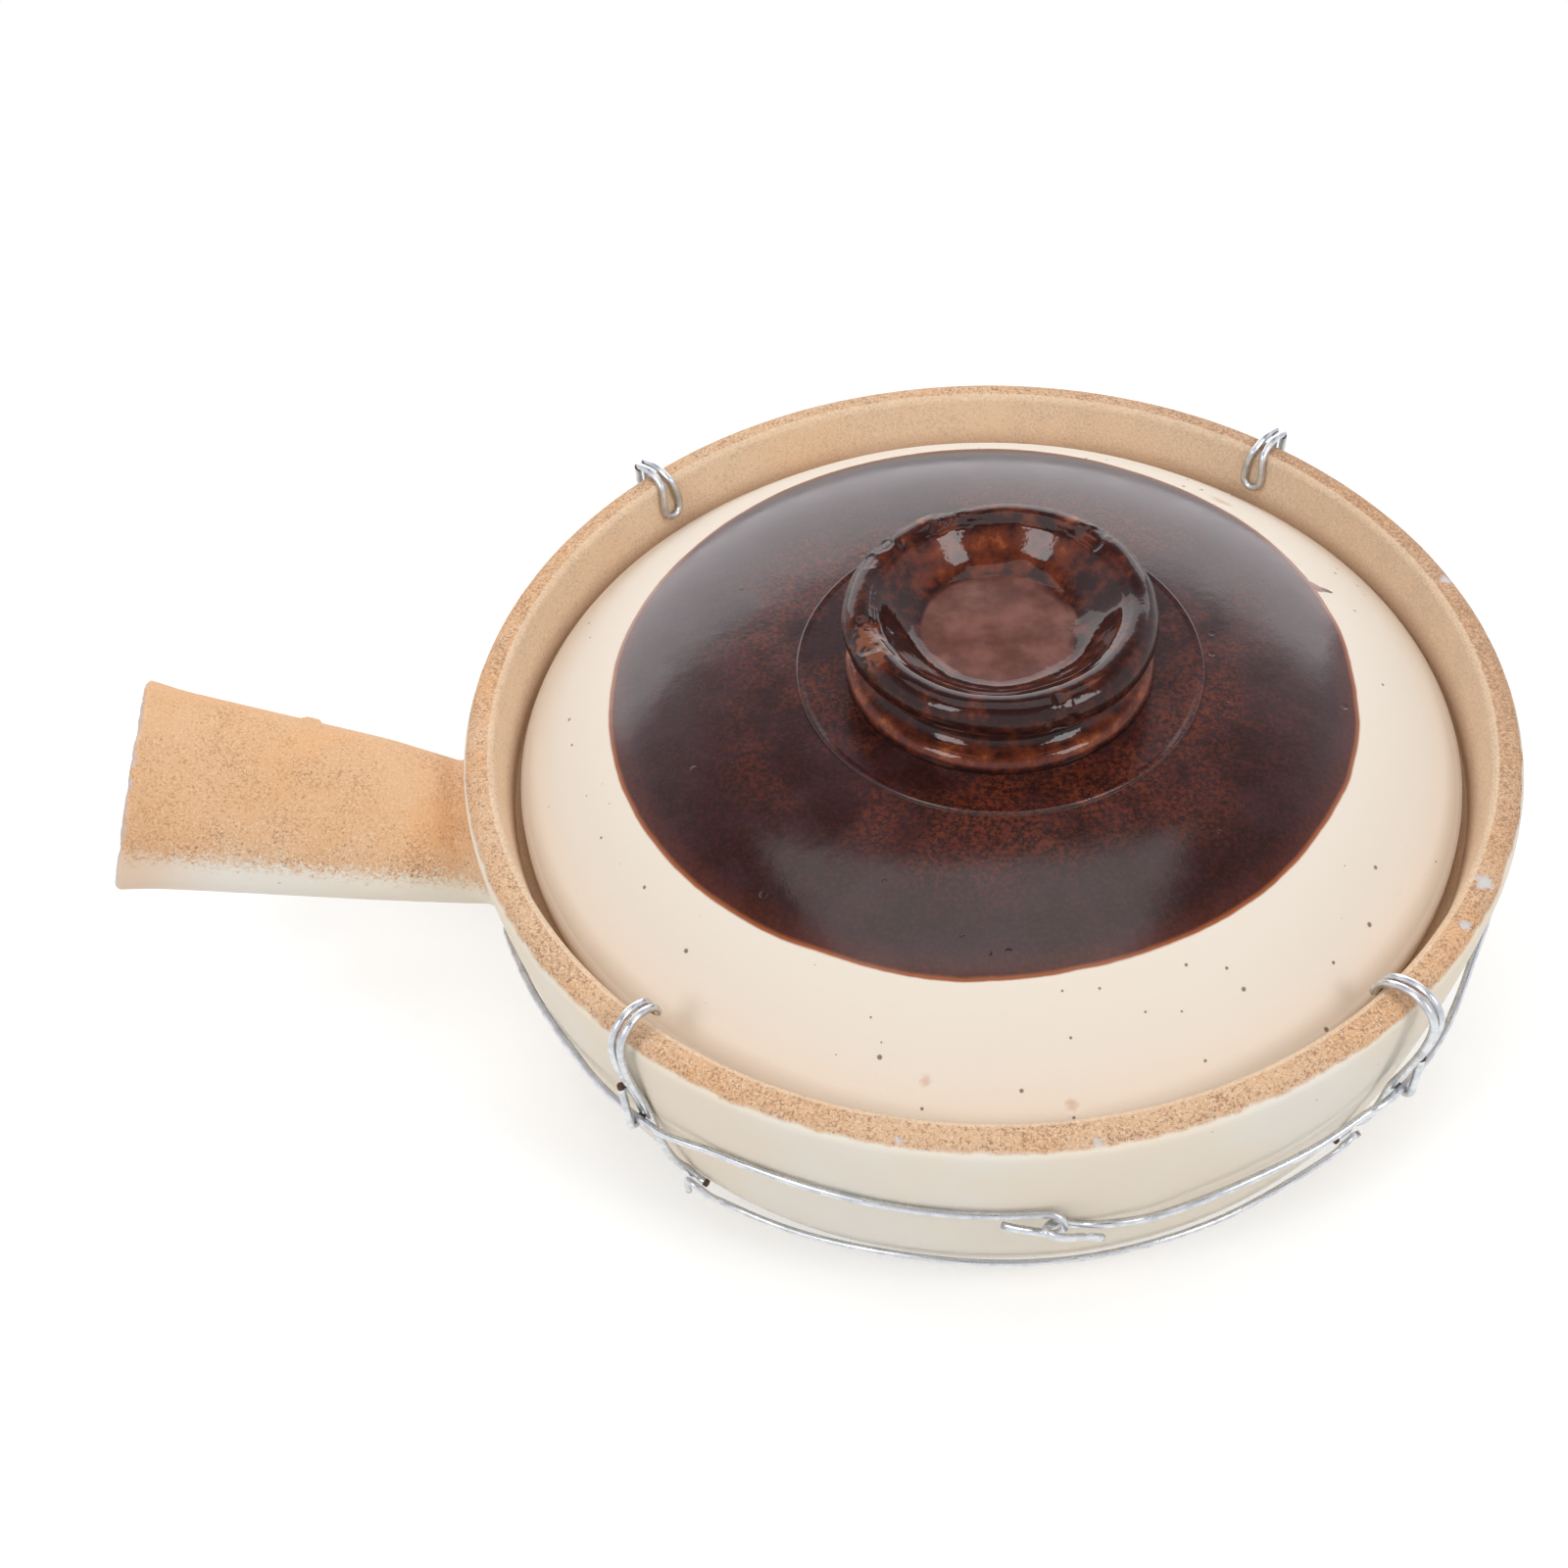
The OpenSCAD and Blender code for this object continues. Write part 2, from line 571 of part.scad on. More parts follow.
// The front hooks end beside the path of the lid, at a gap from it. An end that is
// lower than the top of the rim stays clear of the rim.
module front_hook(az, side, cross, stub, arch, top_in, out, slack, end, pass, foot_z) {
    loop_r = strand_pitch / 2;
    top_r = rim_r - top_in;
    end_r = min(lid_edge_r + wire_r + pass, rim_in_r - snug - wire_gap + max(0, end));
    end_z = pot_h + end + loop_r;
    inside = [for (a = [67.5:-22.5:0])
        [top_r - (top_r - end_r) * cos(a), end_z + (pot_h + arch - end_z) * sin(a)]];
    rim_hook(az, side, cross, stub, out, slack, [arch, top_r], inside, loop_r, foot_z);
}

// The back hooks bend round the inner edge of the rim and lie on the slope inside it
inner_slope = unit([seat_out_r - rim_in_r, seat_z - (pot_h - rim_inner_round)]);

module back_hook(az, side) {
    bend_r = rim_inner_round + snug + wire_gap;
    mid = [rim_in_r + rim_inner_round, pot_h - rim_inner_round];
    edge = mid + [inner_slope[1], -inner_slope[0]] * bend_r;
    run = (back_eye_depth - rim_inner_round) / -inner_slope[1] - back_eye_r;
    inside = concat(
        [for (a = [75, 40]) mid + [-cos(a), sin(a)] * bend_r],
        [for (t = [0.1, 0.55, 1]) edge + inner_slope * run * t]);
    rim_hook(az, side, back_cross, stub_len, back_out, back_slack,
             [back_arch, rim_r - rim_t / 2], inside, back_eye_r, tie_z);
}

// Tie wire between the feet of two hooks, given by the hooks' azimuths. Its run is the
// share of the way, the share of the joint's height and the distance from the wall.
tie_run = [
    [0.055, 0.77, tie_snug * 3],
    [0.14, 0.7, tie_snug * 2.4],
    [0.3, 0.81, tie_snug * 1.7],
    [0.48, 0.76, tie_snug * 2],
    [0.6, 0.7, tie_snug * 2],
    [0.7, 0.69, tie_snug * 2],
    [0.8, 0.66, tie_snug * 2],
    [0.89, 0.75, tie_snug * 2.2]];

// Tips of its ends, in diameters of the wire: bent down, or straight on along the rim
tip_down = [-0.1, 1.9, -0.3 - tie_stub / wire_d];
tip_along = [-0.8, 1.25, -0.2];

module tie_wire(from_az, to_az, rise, from_tip, to_tip) {
    degree = wall_r(tie_z) * PI / 180;
    first = from_az + leg_shift / degree;
    last = to_az - leg_shift / wall_r(tie_z + rise) * 180 / PI;
    start = wire_d * concat([from_tip], joint_tie);
    end = wire_d * concat([to_tip], joint_tie);
    start_run = [for (p = start) by_joint(first, tie_z, p[0], p[1], p[2])];
    end_run = [for (i = [len(end) - 1:-1:0]) let (p = end[i])
        by_joint(last, tie_z + rise, -p[0], p[1], p[2])];
    span = [for (p = tie_run)
        [first + (last - first) * p[0], pot_h - (tie_z * p[1] + rise * p[0]), p[2]]];
    places = smooth(concat(start_run, span, end_run), 3);
    color(zinc)
    wire([for (p = places) on_wall(p[0], p[1], max(p[2], tie_snug))], tie_r);
}

pot_body();
handle();
lid();
lid_knob();
upper_hoop();
tie_wire(front_left_az, front_right_az, tie_rise, tip_down, tip_along);  // tie_wire_front
tie_wire(back_right_az, back_left_az, 0, tip_down, tip_down);  // tie_wire_back
front_hook(front_left_az, 1, left_cross, front_left_stub, front_left_arch,  // rim_hook_front_left
               front_left_top_in, front_left_out, front_left_slack, front_left_end,
               front_left_pass, tie_z);
front_hook(front_right_az, -1, right_cross, stub_len, front_right_arch,  // rim_hook_front_right
               front_right_top_in, front_right_out, front_right_slack, front_right_end,
               front_right_pass, tie_z + tie_rise);
back_hook(back_left_az, -1);  // rim_hook_back_left
back_hook(back_right_az, 1);  // rim_hook_back_right
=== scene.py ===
import math
import bpy
import bmesh
from mathutils import Matrix, Vector, noise


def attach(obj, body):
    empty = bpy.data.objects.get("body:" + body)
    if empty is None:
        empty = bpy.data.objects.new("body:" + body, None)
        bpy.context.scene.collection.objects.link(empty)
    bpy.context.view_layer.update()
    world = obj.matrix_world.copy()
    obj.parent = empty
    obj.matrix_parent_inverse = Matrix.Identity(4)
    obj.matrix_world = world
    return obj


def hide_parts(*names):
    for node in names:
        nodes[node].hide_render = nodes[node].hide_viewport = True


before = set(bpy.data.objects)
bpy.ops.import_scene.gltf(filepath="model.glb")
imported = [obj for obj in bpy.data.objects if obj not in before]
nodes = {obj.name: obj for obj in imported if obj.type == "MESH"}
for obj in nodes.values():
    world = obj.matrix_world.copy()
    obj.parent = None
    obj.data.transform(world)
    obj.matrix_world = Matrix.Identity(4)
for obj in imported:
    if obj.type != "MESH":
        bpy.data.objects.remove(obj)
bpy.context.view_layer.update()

mm = 0.001
print("frame loaded:", len(nodes), "nodes")


# camera: where the photo was taken from, and how it was held
cameraView = {"place": (-0.04712, -0.37201, 0.46218), "downDeg": 47.683, "rollDeg": -4.43,
              "lensMm": 54, "sensorMm": 36}


def makeCamera(view):
    down = math.radians(view["downDeg"])
    roll = math.radians(view["rollDeg"])
    level = Vector((1, 0, 0))
    ahead = Vector((0, math.cos(down), -math.sin(down)))
    over = Vector((0, math.sin(down), math.cos(down)))
    right = level * math.cos(roll) + over * math.sin(roll)
    up = over * math.cos(roll) - level * math.sin(roll)
    data = bpy.data.cameras.new("photoCamera")
    data.lens = view["lensMm"]
    data.sensor_width = view["sensorMm"]
    data.clip_start = 0.02
    data.clip_end = 20
    camera = bpy.data.objects.new("photoCamera", data)
    turn = Matrix((right, up, -ahead)).transposed().to_4x4()
    camera.matrix_world = Matrix.Translation(view["place"]) @ turn
    bpy.context.scene.collection.objects.link(camera)
    bpy.context.scene.camera = camera


makeCamera(cameraView)
print("camera set")


# shading helpers
def put(tree, kind, sockets=None, **settings):
    node = tree.nodes.new("ShaderNode" + kind)
    for name, value in settings.items():
        setattr(node, name, value)
    for name, value in (sockets or {}).items():
        if isinstance(value, bpy.types.NodeSocket):
            tree.links.new(value, node.inputs[name])
        else:
            node.inputs[name].default_value = value
    return node


def maths(tree, operation, *values):
    return put(tree, "Math", dict(enumerate(values)), operation=operation).outputs[0]


def blend(tree, factor, under, over, kind="MIX"):
    sockets = {0: factor, 6: under, 7: over}
    return put(tree, "Mix", sockets, data_type="RGBA", blend_type=kind).outputs[2]


def between(tree, value, low, high, toLow=0.0, toHigh=1.0, smooth=True):
    sockets = {"Value": value, "From Min": low, "From Max": high, "To Min": toLow, "To Max": toHigh}
    kind = "SMOOTHSTEP" if smooth else "LINEAR"
    return put(tree, "MapRange", sockets, interpolation_type=kind).outputs[0]


def cloud(tree, place, size, detail=3.0, rough=0.55):
    sockets = {"Vector": place, "Scale": 1 / size, "Detail": detail, "Roughness": rough}
    return put(tree, "TexNoise", sockets).outputs["Fac"]


def colour(red, green, blue):
    return (red, green, blue, 1.0)


def newGroup(name, inputs, outputs):
    group = bpy.data.node_groups.new(name, "ShaderNodeTree")
    for label, kind, value in inputs:
        socket = group.interface.new_socket(label, in_out="INPUT", socket_type="NodeSocket" + kind)
        if value is not None:
            socket.default_value = value
    for label, kind in outputs:
        group.interface.new_socket(label, in_out="OUTPUT", socket_type="NodeSocket" + kind)
    return group, group.nodes.new("NodeGroupInput").outputs, group.nodes.new("NodeGroupOutput").inputs


def useGroup(tree, group, sockets):
    node = tree.nodes.new("ShaderNodeGroup")
    node.node_tree = group
    for name, value in sockets.items():
        if isinstance(value, bpy.types.NodeSocket):
            tree.links.new(value, node.inputs[name])
        else:
            node.inputs[name].default_value = value
    return node.outputs


# sandy grit: brown grains in patches, pale grains, and the height that they leave
def makeGrit():
    group, given, out = newGroup(
        "sandGrit",
        [("Place", "Vector", None), ("Grain", "Float", 0.0006), ("Brown Share", "Float", 0.3)],
        [("Brown", "Float"), ("Dark", "Float"), ("Pale", "Float"), ("Height", "Float")])
    scale = maths(group, "DIVIDE", 1.0, given["Grain"])
    fine = put(group, "TexNoise", {"Vector": given["Place"], "Scale": scale, "Detail": 2.0,
                                   "Roughness": 0.65}).outputs["Fac"]
    fleckScale = maths(group, "MULTIPLY", scale, 0.8)
    flecks = put(group, "TexNoise", {"Vector": given["Place"], "Scale": fleckScale, "Detail": 3.0,
                                     "Roughness": 0.7, "Distortion": 0.8}).outputs["Fac"]
    patchScale = maths(group, "MULTIPLY", scale, 0.06)
    patches = put(group, "TexNoise", {"Vector": given["Place"], "Scale": patchScale,
                                      "Detail": 3.0}).outputs["Fac"]
    lift = maths(group, "MULTIPLY_ADD", maths(group, "SUBTRACT", patches, 0.5), 0.24, flecks)
    start = maths(group, "SUBTRACT", 0.70, maths(group, "MULTIPLY", given["Brown Share"], 0.32))
    brown = between(group, lift, start, maths(group, "ADD", start, 0.10))
    dark = between(group, lift, maths(group, "ADD", start, 0.09), maths(group, "ADD", start, 0.16))
    group.links.new(maths(group, "MULTIPLY", brown, between(group, fine, 0.36, 0.5)), out["Brown"])
    group.links.new(maths(group, "MULTIPLY", dark, between(group, fine, 0.42, 0.54)), out["Dark"])
    group.links.new(between(group, fine, 0.48, 0.34), out["Pale"])
    group.links.new(maths(group, "MULTIPLY_ADD", flecks, -0.6, fine), out["Height"])
    return group


# pinholes: small round pits, each cell of the pattern holds one or none
def makePits():
    group, given, out = newGroup(
        "firedPits",
        [("Place", "Vector", None), ("Spacing", "Float", 0.004), ("Radius", "Float", 0.0004),
         ("Share", "Float", 0.4)],
        [("Mask", "Float"), ("Tone", "Float")])
    cells = put(group, "TexVoronoi", {"Vector": given["Place"], "Randomness": 1.0,
                                      "Scale": maths(group, "DIVIDE", 1.0, given["Spacing"])})
    tone = put(group, "SeparateColor", {0: cells.outputs["Color"]}).outputs
    away = maths(group, "MULTIPLY", cells.outputs["Distance"], given["Spacing"])
    size = maths(group, "MULTIPLY", given["Radius"],
                 maths(group, "POWER", maths(group, "MULTIPLY_ADD", tone[1], 0.85, 0.15), 2.0))
    inside = between(group, maths(group, "DIVIDE", away, size), 1.15, 0.7)
    kept = maths(group, "LESS_THAN", tone[0], given["Share"])
    group.links.new(maths(group, "MULTIPLY", inside, kept), out["Mask"])
    group.links.new(tone[2], out["Tone"])
    return group


grit = makeGrit()
pits = makePits()
print("shared effects ready")


def newMaterial(name, roughness=0.5):
    material = bpy.data.materials.new(name)
    material.use_nodes = True
    tree = material.node_tree
    tree.nodes.clear()
    surface = put(tree, "BsdfPrincipled", {"Roughness": roughness, "IOR": 1.5})
    out = put(tree, "OutputMaterial")
    tree.links.new(surface.outputs[0], out.inputs[0])
    place = put(tree, "TexCoord").outputs["Object"]
    return material, tree, surface, place


def feed(tree, surface, **sockets):
    for name, socket in sockets.items():
        tree.links.new(socket, surface.inputs[name.replace("_", " ")])


def painted(tree, name):
    return put(tree, "Attribute", attribute_name=name).outputs["Fac"]


def axisDistance(tree, place, x=0.0, y=0.0):
    moved = put(tree, "VectorMath", {0: place, 1: (-x, -y, 0.0)}, operation="ADD").outputs[0]
    parts = put(tree, "SeparateXYZ", {0: moved}).outputs
    flat = put(tree, "CombineXYZ", {0: parts[0], 1: parts[1]}).outputs[0]
    return put(tree, "VectorMath", {0: flat}, operation="LENGTH").outputs["Value"], parts


def bumped(tree, surface, height, depth, strength=0.6):
    bump = put(tree, "Bump", {"Height": height, "Strength": strength, "Distance": depth})
    feed(tree, surface, Normal=bump.outputs[0])


# clay of the pot and the handle: cream slip below, sandy orange where the slip was wiped off
clayLook = {"sand": colour(0.79, 0.52, 0.32), "orange": colour(0.80, 0.45, 0.22),
            "umber": colour(0.46, 0.26, 0.15), "paleSand": colour(0.88, 0.71, 0.52),
            "brownGrain": colour(0.46, 0.25, 0.145), "darkGrain": colour(0.15, 0.075, 0.04),
            "slip": colour(0.87, 0.82, 0.735), "slipWarm": colour(0.89, 0.79, 0.65),
            "chip": colour(0.66, 0.63, 0.64), "insideGlaze": colour(0.06, 0.018, 0.010),
            "grain": 0.00055, "bandHeight": 0.0723, "bandWobble": 0.0022}


def sandColours(tree, place, look, brownShare):
    grains = useGroup(tree, grit, {"Place": place, "Grain": look["grain"], "Brown Share": brownShare})
    wash = cloud(tree, place, 0.030, 3.0)
    tone = blend(tree, between(tree, wash, 0.42, 0.70), look["sand"], look["orange"])
    tone = blend(tree, maths(tree, "MULTIPLY", grains["Pale"], 0.75), tone, look["paleSand"])
    tone = blend(tree, maths(tree, "MULTIPLY", grains["Brown"], 0.72), tone, look["brownGrain"])
    return blend(tree, maths(tree, "MULTIPLY", grains["Dark"], 0.6), tone, look["darkGrain"]), grains


def slipColours(tree, place, look):
    warmth = between(tree, cloud(tree, place, 0.05, 2.0), 0.35, 0.65)
    tone = blend(tree, warmth, look["slip"], look["slipWarm"])
    specks = useGroup(tree, pits, {"Place": place, "Spacing": 0.005, "Radius": 0.0005, "Share": 0.35})
    return blend(tree, maths(tree, "MULTIPLY", specks["Mask"], 0.45), tone, look["brownGrain"])


def makePotClay(look):
    material, tree, surface, place = newMaterial("potClay", 0.8)
    _, parts = axisDistance(tree, place)
    rightSide = between(tree, maths(tree, "MULTIPLY_ADD", parts[1], 0.35, parts[0]), 0.045, 0.125)
    share = between(tree, rightSide, 0.0, 1.0, 0.72, 0.92, smooth=False)
    sand, grains = sandColours(tree, place, look, share)
    sand = blend(tree, maths(tree, "MULTIPLY_ADD", rightSide, 0.30, 0.18), sand, look["umber"])
    sand = blend(tree, maths(tree, "MULTIPLY", painted(tree, "seatSide"), 0.50), sand, look["paleSand"])
    # painted shade: the seat side is darkened with umber towards its bottom, by the lid's edge, where
    # shade falls between rim and lid
    seatShade = maths(tree, "MULTIPLY", painted(tree, "seatSide"), between(tree, parts[2], 0.0655, 0.0580))
    sand = blend(tree, maths(tree, "MULTIPLY", seatShade, 0.55), sand, look["umber"])
    slipTone = slipColours(tree, place, look)
    wobble = maths(tree, "SUBTRACT", cloud(tree, place, 0.006, 4.0), 0.5)
    edge = maths(tree, "MULTIPLY_ADD", wobble, look["bandWobble"], parts[2])
    band = between(tree, edge, look["bandHeight"] - 0.0005, look["bandHeight"] + 0.0005)
    sandy = maths(tree, "MAXIMUM", band, painted(tree, "seatSide"))
    tone = blend(tree, sandy, slipTone, sand)
    tone = blend(tree, painted(tree, "chipped"), tone, look["chip"])
    glazed = painted(tree, "glazedInside")
    mottle = between(tree, cloud(tree, place, 0.004, 4.0), 0.4, 0.75, 0.0, 0.16)
    glazeTone = blend(tree, mottle, look["insideGlaze"], look["brownGrain"])
    feed(tree, surface, Base_Color=blend(tree, glazed, tone, glazeTone))
    feed(tree, surface, Roughness=between(tree, glazed, 0.0, 1.0, 0.82, 0.14, smooth=False))
    rough = maths(tree, "MULTIPLY", grains["Height"], maths(tree, "MULTIPLY_ADD", sandy, 0.9, 0.06))
    rings = maths(tree, "MULTIPLY", cloud(tree, place, 0.012, 1.0), 0.4)
    bumped(tree, surface, maths(tree, "ADD", rough, rings), 0.0005)
    return material


def makeHandleClay(look):
    material, tree, surface, place = newMaterial("handleClay", 0.82)
    smudge = painted(tree, "smudged")
    patches = between(tree, cloud(tree, place, 0.022, 3.0), 0.42, 0.62, 0.0, 0.22)
    share = maths(tree, "ADD", maths(tree, "MULTIPLY_ADD", smudge, 0.60, 0.52), patches)
    sand, grains = sandColours(tree, place, look, share)
    slipTone = slipColours(tree, place, look)
    wobble = maths(tree, "SUBTRACT", cloud(tree, place, 0.0011, 4.0, 0.75), 0.5)
    lean = maths(tree, "ADD", painted(tree, "topSide"), maths(tree, "MULTIPLY", wobble, 1.6))
    sandy = between(tree, lean, 0.24, 0.76)
    tone = blend(tree, sandy, slipTone, sand)
    tone = blend(tree, maths(tree, "MULTIPLY", painted(tree, "endGlow"), 0.52), tone, look["orange"])
    spots = useGroup(tree, pits, {"Place": place, "Spacing": 0.011, "Radius": 0.0009, "Share": 0.35})
    tone = blend(tree, maths(tree, "MULTIPLY", spots["Mask"], 0.85), tone, look["darkGrain"])
    tone = blend(tree, painted(tree, "chipped"), tone, look["chip"])
    feed(tree, surface, Base_Color=tone)
    rough = maths(tree, "MULTIPLY", grains["Height"], maths(tree, "MULTIPLY_ADD", sandy, 0.85, 0.12))
    bumped(tree, surface, rough, 0.0005)
    return material


# glaze: dark brown where it is thick, red brown to orange where it is thin; on the knob's cup these
# colours also paint light on its back wall
glazeLook = {"thick": colour(0.026, 0.0085, 0.0075), "plum": colour(0.036, 0.014, 0.016),
             "red": colour(0.15, 0.032, 0.014), "thin": colour(0.40, 0.12, 0.04),
             "cream": colour(0.80, 0.725, 0.63), "creamPink": colour(0.815, 0.71, 0.60),
             "pit": colour(0.10, 0.05, 0.03), "chip": colour(0.62, 0.40, 0.28),
             "poolDeep": colour(0.12, 0.045, 0.035), "poolPale": colour(0.22, 0.095, 0.075),
             "worn": colour(0.33, 0.12, 0.06),
             "radius": 0.0845, "middleX": -0.0012, "middleY": 0.0018, "knobX": 0.003,
             "redFrom": 0.048, "redTo": 0.074, "wideFringe": 0.0070, "fringe": 0.0013}


def makeLidGlaze(look):
    material, tree, surface, place = newMaterial("lidGlaze", 0.6)
    radius, _ = axisDistance(tree, place, look["middleX"], look["middleY"])
    fromKnob, _ = axisDistance(tree, place, look["knobX"], 0)
    wobble = maths(tree, "SUBTRACT", cloud(tree, place, 0.030, 5.0, 0.5), 0.5)
    edge = maths(tree, "ADD", maths(tree, "MULTIPLY_ADD", wobble, 0.0026, radius),
                 maths(tree, "MULTIPLY", painted(tree, "glazeRun"), -0.006))
    glazed = maths(tree, "MULTIPLY", painted(tree, "topSide"),
                   between(tree, edge, look["radius"] + 0.00025, look["radius"] - 0.00025))
    mottle = cloud(tree, place, 0.0011, 4.0, 0.75)
    streak = cloud(tree, place, 0.020, 3.0, 0.6)
    near = maths(tree, "MULTIPLY", between(tree, fromKnob, look["redTo"], look["redFrom"]),
                 between(tree, streak, 0.36, 0.6))
    red = maths(tree, "MULTIPLY", near, between(tree, mottle, 0.38, 0.66))
    depth = between(tree, cloud(tree, place, 0.012, 2.0), 0.4, 0.65)
    tone = blend(tree, depth, look["thick"], look["plum"])
    fleck = maths(tree, "MULTIPLY", between(tree, mottle, 0.42, 0.68), 0.22)
    tone = blend(tree, fleck, tone, look["red"])
    tone = blend(tree, red, tone, look["red"])
    wide = between(tree, edge, look["radius"] - look["wideFringe"], look["radius"])
    wide = maths(tree, "MULTIPLY", wide, maths(tree, "MULTIPLY", mottle, 0.7))
    tone = blend(tree, wide, tone, look["red"])
    fringe = between(tree, edge, look["radius"] - look["fringe"], look["radius"] - 0.0003)
    tone = blend(tree, maths(tree, "MULTIPLY", fringe, 0.8), tone, look["thin"])
    bubbles = useGroup(tree, pits, {"Place": place, "Spacing": 0.0070, "Radius": 0.0012,
                                    "Share": 0.5})
    cream = blend(tree, cloud(tree, place, 0.05), look["cream"], look["creamPink"])
    holes = useGroup(tree, pits, {"Place": place, "Spacing": 0.0042, "Radius": 0.0006, "Share": 0.65})
    cream = blend(tree, maths(tree, "MULTIPLY", holes["Mask"], 0.8), cream, look["pit"])
    cream = blend(tree, maths(tree, "MULTIPLY", painted(tree, "stained"), 0.6), cream, look["chip"])
    feed(tree, surface, Base_Color=blend(tree, glazed, cream, tone))
    shine = between(tree, cloud(tree, place, 0.01, 2.0), 0.3, 0.7, 0.13, 0.20)
    feed(tree, surface, Roughness=blend(tree, glazed, colour(0.62, 0.62, 0.62), shine))
    peel = maths(tree, "MULTIPLY", cloud(tree, place, 0.0045, 2.0), 0.22)
    grain = maths(tree, "MULTIPLY", cloud(tree, place, 0.0007, 2.0), 0.06)
    # some bubbles stand up and some have burst
    burst = maths(tree, "MULTIPLY_ADD", bubbles["Tone"], -1.8, 0.7)
    skin = maths(tree, "MULTIPLY_ADD", bubbles["Mask"], burst, maths(tree, "ADD", peel, grain))
    tooth = maths(tree, "MULTIPLY", cloud(tree, place, 0.0006), 0.2)
    pores = maths(tree, "MULTIPLY_ADD", holes["Mask"], -1.0, tooth)
    matt = maths(tree, "MULTIPLY", pores, maths(tree, "SUBTRACT", 1.0, glazed))
    height = maths(tree, "ADD", maths(tree, "MULTIPLY", skin, glazed), matt)
    bumped(tree, surface, maths(tree, "MULTIPLY_ADD", glazed, 0.7, height), 0.0003, 0.5)
    return material


def makeKnobGlaze(look):
    material, tree, surface, place = newMaterial("knobGlaze", 0.08)
    surface.inputs["IOR"].default_value = 1.37
    mottle = cloud(tree, place, 0.0050, 5.0, 0.65)
    thin = painted(tree, "thinCrestAndLitWall")
    # warmer where the glaze is thin on the foot's crest, and on the cup's back wall as painted light
    warm = maths(tree, "MULTIPLY_ADD", thin, 0.34, mottle)
    tone = blend(tree, between(tree, warm, 0.44, 0.78), look["thick"], look["red"])
    tone = blend(tree, between(tree, warm, 0.72, 0.98), tone, look["thin"])
    fleck = between(tree, cloud(tree, place, 0.0012, 3.0, 0.7), 0.60, 0.72)
    tone = blend(tree, maths(tree, "MULTIPLY", fleck, 0.25), tone, look["red"])
    poolDepth = between(tree, cloud(tree, place, 0.009, 3.0), 0.35, 0.7)
    poolTone = blend(tree, poolDepth, look["poolDeep"], look["poolPale"])
    tone = blend(tree, painted(tree, "glazePool"), tone, poolTone)
    tone = blend(tree, maths(tree, "MULTIPLY", painted(tree, "worn"), 0.5), tone, look["worn"])
    feed(tree, surface, Base_Color=tone)
    bumped(tree, surface, cloud(tree, place, 0.0035, 2.0), 0.0004, 0.22)
    return material


# zinc of the wire
wireLook = {"bright": colour(0.70, 0.72, 0.74), "dull": colour(0.54, 0.56, 0.58),
            "rust": colour(0.10, 0.045, 0.025)}


def makeWireZinc(look):
    material, tree, surface, place = newMaterial("wireZinc", 0.35)
    spangle = cloud(tree, place, 0.0030, 3.0, 0.6)
    tone = blend(tree, between(tree, spangle, 0.38, 0.68), look["bright"], look["dull"])
    crust = maths(tree, "ADD", cloud(tree, place, 0.0009, 3.0), 0.45)
    rust = between(tree, maths(tree, "MULTIPLY", painted(tree, "cutEnd"), crust), 0.35, 0.7)
    feed(tree, surface, Base_Color=blend(tree, rust, tone, look["rust"]))
    feed(tree, surface, Metallic=between(tree, rust, 0.0, 1.0, 1.0, 0.15, smooth=False))
    dullness = maths(tree, "MULTIPLY_ADD", rust, 0.6, spangle)
    feed(tree, surface, Roughness=between(tree, dullness, 0.3, 1.1, 0.24, 0.7))
    return material


potClay = makePotClay(clayLook)
handleClay = makeHandleClay(clayLook)
lidGlaze = makeLidGlaze(glazeLook)
knobGlaze = makeKnobGlaze(glazeLook)
wireZinc = makeWireZinc(wireLook)
print("materials ready")


# modelling helpers; profiles are given in millimetres as radius and height
def turnedShape(points, rounds, steps, shiftX=0.0):
    bm = bmesh.new()
    chain = [bm.verts.new((radius * mm, 0.0, height * mm)) for radius, height in points]
    for low, high in zip(chain, chain[1:]):
        bm.edges.new((low, high))
    for index, (rounding, segments) in rounds.items():
        corner = chain[index]
        arms = [edge.other_vert(corner).co - corner.co for edge in corner.link_edges]
        reach = rounding * mm / math.tan(arms[0].angle(arms[1]) / 2)
        bmesh.ops.bevel(bm, geom=[corner], offset=reach, offset_type="OFFSET", segments=segments,
                        profile=0.5, affect="VERTICES", material=-1)
    bmesh.ops.spin(bm, geom=bm.verts[:] + bm.edges[:], cent=(0, 0, 0), axis=(0, 0, 1),
                   angle=2 * math.pi, steps=steps, use_merge=True)
    bmesh.ops.remove_doubles(bm, verts=bm.verts[:], dist=2e-6)
    bmesh.ops.recalc_face_normals(bm, faces=bm.faces[:])
    bmesh.ops.translate(bm, verts=bm.verts[:], vec=(shiftX * mm, 0, 0))
    return bm


def eased(value, low, high):
    share = min(1.0, max(0.0, (value - low) / (high - low)))
    return share * share * (3 - 2 * share)


def wander(place, size, seed=0.0):
    return noise.noise(place / (size * mm) + Vector((seed, 3 * seed, -seed)))


def layerOf(bm, name):
    return bm.verts.layers.float.get(name) or bm.verts.layers.float.new(name)


